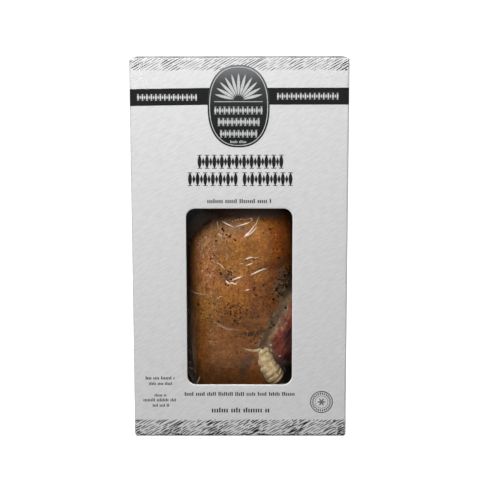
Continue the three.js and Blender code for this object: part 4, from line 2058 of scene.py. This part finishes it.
@dataclass
class PepperRub:
    """Cracked pepper pressed into the skin: large flakes, a peppered flank, and fine dust all over."""

    relief: Relief
    duck: HalfDuck
    seed: int = 17
    spread: int = 400  # how many fine grains lie all over
    flakes: tuple[Triple, ...] = (
        (-37.5, 116.5, 1.75), (-19.5, 102.5, 1.25), (-29.0, 105.0, 1.0), (-25.0, 103.5, 0.9),
        (-4.5, 104.5, 1.1), (-5.0, 103.0, 1.1), (0.5, 107.0, 1.1), (14.0, 82.0, 1.1), (18.5, 86.0, 0.9),
        (5.5, 89.5, 1.1), (9.5, 91.5, 1.0), (-35.5, 68.0, 0.95), (41.0, 112.5, 1.5), (-15.5, 186.0, 1.6),
        (-14.5, 184.5, 1.1), (27.0, 186.0, 1.1), (-4.0, 176.5, 1.2), (-21.0, 175.5, 1.15),
        (-11.5, 181.0, 0.9), (-8.5, 180.5, 0.9), (-18.5, 149.5, 1.2), (-17.0, 146.0, 1.2),
        (-7.5, 145.5, 1.0), (-4.5, 148.0, 0.9), (-7.5, 141.0, 1.1), (-18.0, 157.5, 1.0), (13.0, 133.5, 1.4),
        (12.5, 132.0, 1.1), (21.0, 135.5, 1.2), (14.5, 127.0, 1.1), (4.5, 126.5, 0.95), (12.0, 118.0, 1.0),
        (16.0, 108.0, 0.9), (-22.5, 118.5, 0.8), (-23.5, 164.0, 1.0), (12.5, 159.5, 1.0),
        (-13.0, 136.5, 1.1), (-10.5, 135.5, 1.1), (-27.5, 147.5, 0.8), (41.5, 148.5, 1.5),
        (39.5, 145.5, 1.1), (-37.5, 169.5, 0.9), (34.0, 139.5, 1.3), (32.5, 130.5, 1.6), (30.0, 122.0, 1.6),
        (37.0, 124.5, 1.5), (28.5, 101.0, 1.5), (30.0, 98.0, 1.6), (27.5, 95.5, 1.3), (20.5, 76.5, 1.3),
    )
    drifts: tuple[PepperDrift, ...] = (
        PepperDrift(-4, 113, 12, 9, 210),
        PepperDrift(40, 136, 6, 11, 120, 1.2, 10),
        PepperDrift(36, 129, 3.5, 4, 16, 1.6),
        PepperDrift(43, 131, 3, 5, 18, 1.6),
        PepperDrift(42, 144, 3, 5, 20, 1.6),
        PepperDrift(33, 112, 4, 12, 60, 1.0, -18),
        PepperDrift(12, 91, 10, 3, 60, 1.0, 12),
        PepperDrift(-10, 146, 6, 9, 50, 1.0, 30),
        PepperDrift(30, 98, 4, 6, 26),
        PepperDrift(-28, 108, 10, 10, 60),
        PepperDrift(-14, 178, 9, 6, 26),
        PepperDrift(18, 85, 7, 7, 40),
        PepperDrift(20, 124, 9, 12, 60),
        PepperDrift(34, 163, 9, 12, 40),
        PepperDrift(-27, 164, 8, 15, 36),
    )
    lowest: float = 4.0  # the least height that holds a grain

    def places(self) -> Array:
        """Every grain's (x, z, half size), the fine ones drawn at random.

        Returns:
            One row for each grain.
        """
        draw = np.random.default_rng(self.seed)
        rows = [np.array(self.flakes)]
        x = draw.uniform(-44, 46, self.spread * 2)
        z = draw.uniform(24, 205, self.spread * 2)
        size = 0.2 + 0.22 * draw.power(0.7, self.spread * 2)
        on_skin = self.duck.past_rim(x, z) < 1
        rows.append(np.stack([x, z, size], -1)[on_skin][: self.spread])
        for drift in self.drifts:
            grains = drift.grains(draw)
            rows.append(grains[self.duck.past_rim(grains[:, 0], grains[:, 1]) < -5])
        return np.concatenate(rows)

    def build(self) -> None:
        """Makes all the grains as one piece, each a small flattened uneven lump."""
        draw = np.random.default_rng(self.seed + 1)
        shape = bmesh.new()
        bmesh.ops.create_icosphere(shape, subdivisions=1, radius=1.0)
        lump = np.array([vert.co[:] for vert in shape.verts])
        sides = np.array([[vert.index for vert in face.verts] for face in shape.faces])
        shape.free()
        places = self.places()
        height = self.relief.at(places[:, 0], places[:, 1])
        seen = height > self.lowest
        points, faces = [], []
        for index, ((x, z, size), rise) in enumerate(zip(places[seen], height[seen])):
            turn = self.lie(x, z)
            uneven = lump * (1 + draw.uniform(-0.28, 0.28, (len(lump), 1)))
            shaped = uneven * np.array([size, size * draw.uniform(0.55, 1.0), min(0.6, size * 0.5)])
            centre = np.array([x, self.relief.base - rise, z]) + 0.2 * min(1.0, size) * turn[:, 2]
            points.append(shaped @ turn.T + centre)
            faces.append(sides + index * len(lump))
        piece = mesh_piece("cracked_pepper", np.concatenate(points), np.concatenate(faces), smooth=False)
        dress(piece, [CrackedPepper().material()])

    def lie(self, x: float, z: float, reach: float = 0.8) -> Array:
        """How a grain lies on the skin at (x, z): a turn whose last column points out of the skin."""
        slope_x = (self.relief.at(x + reach, z) - self.relief.at(x - reach, z)) / (2 * reach)
        slope_z = (self.relief.at(x, z + reach) - self.relief.at(x, z - reach)) / (2 * reach)
        return np.array(Vector((-slope_x, -1.0, -slope_z)).to_track_quat("Z", "Y").to_matrix())


# ---- the pouch ----


@dataclass(frozen=True)
class Crease:
    """One crease pressed into the clear web.

    Attributes:
        width: its greatest width.
        bright: how white it is, up to 1; the white is a painted highlight.
        line: the points that it passes through.
        beads: how many times it breaks up into beads along its length.
    """

    width: float
    bright: float
    line: tuple[Pair, ...]
    beads: int = 0


@dataclass
class Pouch:
    """The vacuum pouch: a black web behind, and a clear web drawn onto the duck and sealed to it."""

    relief: Relief
    web_low: Vector
    web_high: Vector
    stand_off: float = 0.45  # how far the clear web stays off the skin
    pull: float = 0.05  # how hard the vacuum draws it down between its supports
    sink: float = 0.3  # how far sharp bumps may press into it
    soft_passes: int = 4  # how often the relief is softened before the web lies on it
    pull_passes: int = 260  # how often the web is drawn tight
    corner: float = 9.0  # the radius of the pouch's corners
    film: float = 0.08  # the black web's thickness
    fleck_count: int = 70
    fleck_patch: Spot = Spot(-31.0, 164.0, 6.0, 17.0, 1.0)
    creases: tuple[Crease, ...] = (
        # a V, a hook and a ruffle at the head of the breast
        Crease(1.0, 1.0, ((-16.5, 193), (-11.5, 190.5), (-4.5, 187.5))),
        Crease(1.0, 0.95, ((-5.5, 188), (1.5, 190), (6.5, 191.5), (10, 193))),
        Crease(0.8, 0.8, ((9.5, 192.5), (11, 194.5), (10, 195.5), (7, 195))),
        Crease(0.9, 1.0, ((8, 195.5), (4.5, 194.5), (1.5, 195), (-3.5, 194), (-9, 192)), 9),
        # streaks down the breast
        Crease(0.8, 0.7, ((17.5, 198), (16, 194.5), (14, 190.5), (11, 187.5))),
        Crease(1.2, 1.0, ((13.5, 190), (11, 187), (8, 183.5), (4, 179.5))),
        Crease(1.0, 0.9, ((15.5, 189), (13, 186), (9.5, 182.5), (5, 180))),
        Crease(2.0, 1.0, ((9, 183.5), (6.5, 182), (4, 179.5))),
        # a drop and a cluster on their left
        Crease(0.8, 0.6, ((-20.5, 193), (-20, 189.5), (-19, 185))),
        Crease(3.0, 0.5, ((-21.5, 183.5), (-18, 180.5), (-14.5, 178.5)), 3),
        Crease(2.0, 0.5, ((-18.5, 184.5), (-18, 181), (-16.5, 178)), 2),
        # dashes across the breast
        Crease(1.5, 1.0, ((4.5, 159.5), (8, 161), (12, 162))),
        Crease(0.8, 0.6, ((11, 161.5), (14, 161), (17.5, 162))),
        Crease(1.2, 1.0, ((5, 154), (8.5, 155), (12, 156.5))),
        Crease(0.8, 0.6, ((-0.5, 156), (1.5, 155.5), (3.5, 156))),
        # the fold between breast and thigh
        Crease(0.9, 0.6, ((-23, 156.5), (-19, 155), (-16, 152.5), (-13.5, 149.5))),
        Crease(1.3, 1.0, ((-13, 140.5), (-11.5, 138.5), (-9.5, 137))),
        Crease(1.2, 1.0, ((-10, 137), (-7, 138), (-4.5, 137), (-2.5, 138.5))),
        Crease(1.5, 1.0, ((-8, 139.5), (-4, 141.5), (0, 143), (3.5, 144.5))),
        Crease(1.5, 1.0, ((9, 144.5), (14, 147), (19.5, 149.5), (25, 150.5))),
        # the thigh and the left flank
        Crease(1.2, 0.9, ((4.5, 131.5), (6.5, 132), (9, 132.5))),
        Crease(1.0, 1.0, ((-21.5, 126), (-19.5, 124), (-17.5, 126), (-15.5, 125)), 5),
        Crease(1.0, 0.8, ((-48, 128), (-44.5, 126.5), (-40.5, 126), (-27, 126.5))),
        # the edges of the shoulders
        Crease(0.8, 0.4, ((-39, 181), (-36.5, 184), (-33.5, 187))),
        Crease(1.0, 0.7, ((-47.5, 169), (-46, 168.5), (-44, 168))),
        Crease(1.0, 0.7, ((43.5, 190.5), (45, 188), (46, 185))),
        # single flecks: painted glints
        Crease(0.9, 0.5, ((-32, 186), (-31.5, 184.5))),
        Crease(0.9, 0.45, ((-31.5, 179), (-30.5, 176))),
        Crease(0.9, 0.5, ((-28, 169), (-27, 167.5))),
        Crease(1.0, 0.55, ((-25.5, 161.5), (-24, 161))),
        Crease(0.9, 0.5, ((-3.5, 166.5), (-2, 167))),
        Crease(0.9, 0.55, ((31, 180.5), (32.5, 181))),
        Crease(0.8, 0.4, ((20.5, 186), (22, 185.5))),
        # faint arcs and strokes
        Crease(0.8, 0.3, ((-14, 166.5), (-11, 162), (-12.5, 157.5))),
        Crease(2.2, 0.2, ((-23, 101.5), (-16, 97.5), (-10.5, 95), (-1.5, 94.5))),
        Crease(0.9, 0.25, ((-25, 96), (-26.5, 93.5), (-27.5, 91))),
        Crease(0.8, 0.22, ((-29, 83.5), (-23.5, 83), (-19, 84))),
        # the dark gap at the lower left
        Crease(1.3, 0.4, ((-48, 108.5), (-46, 105), (-44.5, 102), (-46, 90), (-48, 78.5))),
        Crease(1.8, 0.42, ((-45.5, 84.5), (-44.5, 77), (-43.5, 69.5), (-42.5, 56))),
        Crease(1.4, 0.9, ((-47.5, 69.5), (-46.5, 66.5), (-45.5, 63.5))),
        Crease(1.7, 1.0, ((-49, 50), (-45.5, 51), (-42, 53))),
        Crease(1.4, 1.0, ((-42.5, 51.5), (-41, 49.5))),
        Crease(1.6, 1.0, ((-37, 48), (-39, 42), (-42.5, 35))),
        Crease(1.4, 0.6, ((-49, 55.5), (-47, 56), (-44.5, 58.5))),
        Crease(1.8, 1.0, ((-50, 50), (-47.5, 44.5), (-45.5, 40.5), (-44.5, 35.5))),
        Crease(1.5, 0.75, ((-43.5, 44.5), (-44.5, 40), (-45, 36))),
        Crease(1.5, 0.8, ((-46.5, 30), (-43, 36), (-38.5, 41))),
        Crease(1.2, 0.7, ((-47, 37), (-43.5, 33.5), (-39, 31.5))),
        Crease(0.8, 0.5, ((-49, 107), (-47.5, 104.5))),
        # glints on the rim
        Crease(1.4, 0.55, ((27, 79.5), (29, 78))),
        Crease(1.0, 0.4, ((28, 76), (29, 72.5))),
        # broad mist where the web leaves the duck
        Crease(9.0, 0.08, ((-14, 200), (8, 200), (28, 199), (46, 196))),
        Crease(9.0, 0.2, ((-47, 172), (-43, 183), (-34, 192), (-20, 197))),
        Crease(9.0, 0.13, ((-46, 130), (-45, 84), (-44, 56), (-42, 30))),
        Crease(9.0, 0.3, ((-49, 56), (-47, 46), (-42, 36), (-34, 29))),
        # glints on the meat and the shank
        Crease(1.0, 0.6, ((34.5, 68.5), (37.5, 68.5))),
        Crease(0.9, 0.45, ((39.5, 58.5), (41, 54), (42, 49.5))),
        Crease(1.2, 1.0, ((18.5, 58.5), (20, 58))),
    )

    def glint_flecks(self) -> list[Crease]:
        """Draws short white flecks on the web over the left shoulder: painted glints, drawn as small
        creases.

        Returns:
            The glints as small creases.
        """
        draw = np.random.default_rng(41)
        patch = self.fleck_patch
        lines = []
        for _ in range(self.fleck_count):
            x, z = draw.normal(patch.x, patch.across), draw.normal(patch.z, patch.along)
            angle, reach = draw.normal(1.1, 0.7), draw.uniform(0.5, 1.8)
            step = (reach * math.cos(angle), reach * math.sin(angle))
            ends = ((x - step[0], z - step[1]), (x, z), (x + step[0], z + step[1]))
            lines.append(Crease(draw.uniform(0.5, 1.0), draw.uniform(0.15, 0.45), ends))
        return lines

    @property
    def margin(self) -> tuple[Array, Array]:
        """How far each grid point lies inside the pouch's edge, along X and Z."""
        x, z = np.meshgrid(self.relief.x, self.relief.z)
        inside_x = np.minimum(x - self.web_low.x / MM, self.web_high.x / MM - x)
        inside_z = np.minimum(z - self.web_low.z / MM, self.web_high.z / MM - z)
        return inside_x, inside_z

    def stretch(self) -> Array:
        """Draws the clear web tight over the duck under vacuum.

        Returns:
            The web's height over the black web, at each point of the grid.
        """
        bumps = self.relief.heights
        soft = bumps.copy()
        for _ in range(self.soft_passes):
            around = soft[:-2, 1:-1] + soft[2:, 1:-1] + soft[1:-1, :-2] + soft[1:-1, 2:]
            soft[1:-1, 1:-1] = (4 * soft[1:-1, 1:-1] + around) / 8
        floor = np.where(bumps > 0, np.maximum(soft, bumps - self.sink) + self.stand_off, 0.0)
        height = floor.copy()
        for _ in range(self.pull_passes):
            mean = np.zeros_like(height)
            mean[1:-1, 1:-1] = height[:-2, 1:-1] + height[2:, 1:-1] + height[1:-1, :-2] + height[1:-1, 2:]
            height = np.maximum(mean / 4 - self.pull * self.relief.step**2, floor)
        return height

    def folds(self) -> Array:
        """The small folds of the web where it is slack, between the duck and the sealed margin.

        Returns:
            How far the folds stand up at each point of the grid.
        """
        noise = LatticeNoise(21)
        place = on_plane(*np.meshgrid(self.relief.x, self.relief.z))
        touching = smoothstep(0.2, 2.0, self.relief.heights)
        ridges = 1 - np.abs(noise.at(place, (3.4, 3.4, 15.0)))
        cross = 1 - np.abs(noise.at(place + 40, (9.0, 9.0, 4.2)))
        slack = (1 - touching) * smoothstep(0.0, 3.0, np.minimum(*self.margin))
        return slack * (0.9 * ridges**6 + 0.7 * cross**6) + touching * 0.10 * noise.at(place, 7.0)

    def build(self) -> None:
        """Makes the black web, the clear web and the creases pressed into it, with their painted highlights.
        """
        self.black_web()
        height = self.stretch()
        slack = smoothstep(0.7, 4.0, height - self.relief.heights)
        height = height + self.folds()
        self.clear_web(height, slack)
        self.press_creases(height)

    def sheet(self, name: str, height: Array, base: float) -> tuple[Piece, Array]:
        """Makes a sheet over the pouch's own outline, with its corners rounded.

        Args:
            name: the piece's name.
            height: how far each grid point stands in front of the base.
            base: where the base lies along Y.

        Returns:
            The piece, and which grid points it uses.
        """
        inside_x, inside_z = self.margin
        x, z = np.meshgrid(self.relief.x, self.relief.z)
        away = np.hypot(np.maximum(self.corner - inside_x, 0), np.maximum(self.corner - inside_z, 0))
        kept = (np.minimum(inside_x, inside_z) >= -HAIR) & (away <= self.corner + 0.2)
        number = np.full(kept.shape, -1)
        number[kept] = np.arange(kept.sum())
        corners = number.ravel()[grid_faces(*kept.shape)]
        faces = corners[(corners >= 0).all(axis=1)]
        points = np.stack([x, base - height, z], -1)[kept]
        return mesh_piece(name, points, faces), kept

    def black_web(self) -> None:
        """Makes the crinkled black web, a film's thickness, against the box's back panel."""
        place = on_plane(*np.meshgrid(self.relief.x, self.relief.z))
        crinkle = 0.09 + LatticeNoise(31).mix(place, ((0.06, 6.0), (0.03, 2.4)))
        piece, _ = self.sheet("black_film_web", self.film + crinkle, self.web_high.y / MM)
        thickness = piece.modifiers.new("film", "SOLIDIFY")
        thickness.thickness = self.film * MM
        thickness.offset = 1.0
        dress(piece, [BlackFilm().material()], node="black_web")

    def clear_web(self, height: Array, slack: Array) -> None:
        """Makes the clear web.

        Args:
            height: its height at each point of the grid.
            slack: how slack it is there.
        """
        piece, kept = self.sheet("clear_film_web", height + 0.1, self.relief.base)
        set_attribute(piece, "slack", slack[kept])
        piece.visible_shadow = False
        dress(piece, [ClearFilm().material()], node="bagged_half_duck")

    def press_creases(self, height: Array) -> None:
        """Makes the sharp creases of the clear web as thin arched ribs along its surface, white with a
        painted highlight.

        Args:
            height: the clear web's height at each point of the grid.
        """
        points, faces, strength, count = [], [], [], 0
        arch = np.linspace(-1, 1, 5)
        for crease in (*self.creases, *self.glint_flecks()):
            steps = 10 * len(crease.line) + 6 * crease.beads
            share = np.linspace(0, 1, steps)
            spine = smooth_line(crease.line, steps)
            _, across = ways(spine)
            beading = 0.55 + 0.45 * np.cos(2 * math.pi * crease.beads * share)
            full = np.sin(math.pi * (0.03 + 0.94 * share)) ** 0.5 * beading
            half = full * crease.width / 2
            place = spine[:, None] + across[:, None] * (arch[None, :, None] * half[:, None, None])
            rise = self.relief.at(place[..., 0], place[..., 1], height) + 0.14
            rise += (1 - arch**2)[None] * 0.5 * half[:, None]
            rib = np.stack([place[..., 0], self.relief.base - rise, place[..., 1]], -1)
            points.append(rib.reshape(-1, 3))
            faces.append(grid_faces(steps, len(arch), first=count))
            strength.append((crease.bright * full[:, None] * (1 - 0.5 * arch**2)[None]).ravel())
            count += steps * len(arch)
        piece = mesh_piece("film_creases_painted_highlights", np.concatenate(points), np.concatenate(faces))
        set_attribute(piece, "crease", np.concatenate(strength))
        dress(piece, [CreaseHighlight().material()])


# ---- the studio ----


@dataclass(frozen=True)
class SoftBox:
    """A rectangular studio light.

    Attributes:
        name: its name.
        place: where it stands, in metres.
        target: where it is aimed.
        size: its width and height in metres.
        watts: its power.
        glint: whether gloss shows it; a diffused light without glint leaves the film clear.
    """

    name: str
    place: Triple
    target: Triple
    size: Pair
    watts: float
    glint: bool = False

    def build(self) -> None:
        """Adds the light, aimed at its target and unseen by the camera."""
        lamp = bpy.data.lights.new(self.name, "AREA")
        lamp.shape = "RECTANGLE"
        lamp.size, lamp.size_y = self.size
        lamp.energy = self.watts
        light = bpy.data.objects.new(self.name, lamp)
        light.location = self.place
        aim = Vector(self.target) - Vector(self.place)
        light.rotation_euler = aim.to_track_quat("-Z", "Y").to_euler()
        light.visible_camera = False
        light.visible_glossy = self.glint
        bpy.context.scene.collection.objects.link(light)


@dataclass(frozen=True)
class StudioCamera:
    """The camera: a 100 mm lens just over a metre away, a little above the box."""

    place: Triple = (9.12, -1190.84, 367.97)  # in millimetres
    down: float = 9.25  # in degrees, as are the next two
    yaw: float = -0.4385
    roll: float = -0.1249
    lens: float = 100.106  # in millimetres

    def build(self) -> None:
        """Adds the camera and makes it the scene's own."""
        down, yaw, roll = (math.radians(angle) for angle in (self.down, self.yaw, self.roll))
        flat = math.cos(down)
        forward = Vector((math.sin(yaw) * flat, math.cos(yaw) * flat, -math.sin(down)))
        level = Vector((math.cos(yaw), -math.sin(yaw), 0))
        above = level.cross(forward)
        right = level * math.cos(roll) + above * math.sin(roll)
        up = above * math.cos(roll) - level * math.sin(roll)
        data = bpy.data.cameras.new("camera")
        data.lens = self.lens
        data.sensor_width = 36.0
        camera = bpy.data.objects.new("camera", data)
        turned = Matrix((right, up, -forward)).transposed().to_4x4()
        camera.matrix_world = Matrix.Translation(Vector(self.place) * MM) @ turned
        bpy.context.scene.collection.objects.link(camera)
        bpy.context.scene.camera = camera


@dataclass(frozen=True)
class Studio:
    """A plain white studio: floor, backdrop, a soft key above the camera and a broad fill."""

    ambient: float = 0.18
    floor: float = 3.0  # its radius in metres
    room: float = 6.0  # the backdrop's
    lights: tuple[SoftBox, ...] = (
        SoftBox("key_softbox", (-0.2, -0.74, 0.68), (0.0, 0.0, 0.17), (0.5, 0.3), 6.1),
        SoftBox("low_fill", (-0.12, -1.25, 0.06), (0.0, 0.0, 0.17), (0.5, 0.3), 2.2),
        SoftBox("edge_strip", (0.0, -0.085, 0.395), (0.0, -0.03, 0.395), (0.3, 0.03), 0.042),
        SoftBox("gloss_strip", (-0.1, -0.9, 1.45), (0.0, 0.0, 0.2), (1.1, 0.09), 1.6, glint=True),
        SoftBox("top_softbox", (-0.25, 0.5, 1.5), (0.0, 0.0, 0.3), (0.8, 0.8), 15.0),
    )

    def build(self) -> None:
        """Sets up the world, the floor, the backdrop and the lights."""
        scene = bpy.context.scene
        scene.view_settings.view_transform = "Standard"
        world = bpy.data.worlds.new("studio_air")
        scene.world = world
        world.use_nodes = True
        air = world.node_tree.nodes["Background"].inputs
        air["Color"].default_value = (1, 1, 1, 1)
        air["Strength"].default_value = self.ambient
        self.set_stage(self.disc())
        self.set_stage(self.dome())
        for light in self.lights:
            light.build()

    @staticmethod
    def set_stage(piece: Piece) -> None:
        """Makes a white stage piece that the camera sees and that throws no light on the box.

        Args:
            piece: the floor or the backdrop.
        """
        piece.data.materials.append(WhitePaper(f"{piece.name}_white_paper").material())
        piece.visible_diffuse = False
        piece.visible_glossy = False
        piece.visible_shadow = False

    def disc(self, sides: int = 96) -> Piece:
        """A round floor."""
        angle = np.linspace(0, 2 * math.pi, sides, endpoint=False)
        points = self.floor * np.stack([np.cos(angle), np.sin(angle), np.zeros(sides)], -1)
        return mesh_piece("floor", points / MM, [list(range(sides))], smooth=False)

    def dome(self) -> Piece:
        """A closed white shell round the whole studio."""
        rise, turn = np.meshgrid(np.linspace(-math.pi / 2, math.pi / 2, 25), np.linspace(0, 2 * math.pi, 49))
        points = np.stack([np.cos(rise) * np.cos(turn), np.cos(rise) * np.sin(turn), np.sin(rise)], -1)
        return mesh_piece("backdrop", points.reshape(-1, 3) * self.room / MM, grid_faces(*rise.shape))


# ---- the whole ----


def corners(box: object) -> list[list[float]]:
    """A box's corners as plain lists of numbers."""
    return [[float(value) for value in corner] for corner in box]


def main() -> None:
    """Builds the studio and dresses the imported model, piece by piece."""
    logging.basicConfig(level=logging.INFO, format="%(name)s: %(message)s")
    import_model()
    StudioCamera().build()
    Studio().build()

    low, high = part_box("carton")
    blank = Blank(*((high - low) / MM))
    Carton(blank).build()
    PrintedDesign(blank).build()

    web_low, web_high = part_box("black_web")
    _, duck_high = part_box("bagged_half_duck")
    duck = HalfDuck(cut_side=duck_high.y / MM)
    body = duck.build()
    dress(body, [RoastSkin().material()], node="bagged_half_duck")
    shank = Shank(duck).build()
    relief = Relief(
        low=(web_low.x / MM, web_low.z / MM),
        size=((web_high.x - web_low.x) / MM, (web_high.z - web_low.z) / MM),
        step=1.0,
        base=duck.cut_side,
    )
    relief.measure([body, *shank])
    PepperRub(relief, duck).build()
    Pouch(relief, web_low, web_high).build()

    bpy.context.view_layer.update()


if __name__ == "__main__":
    main()
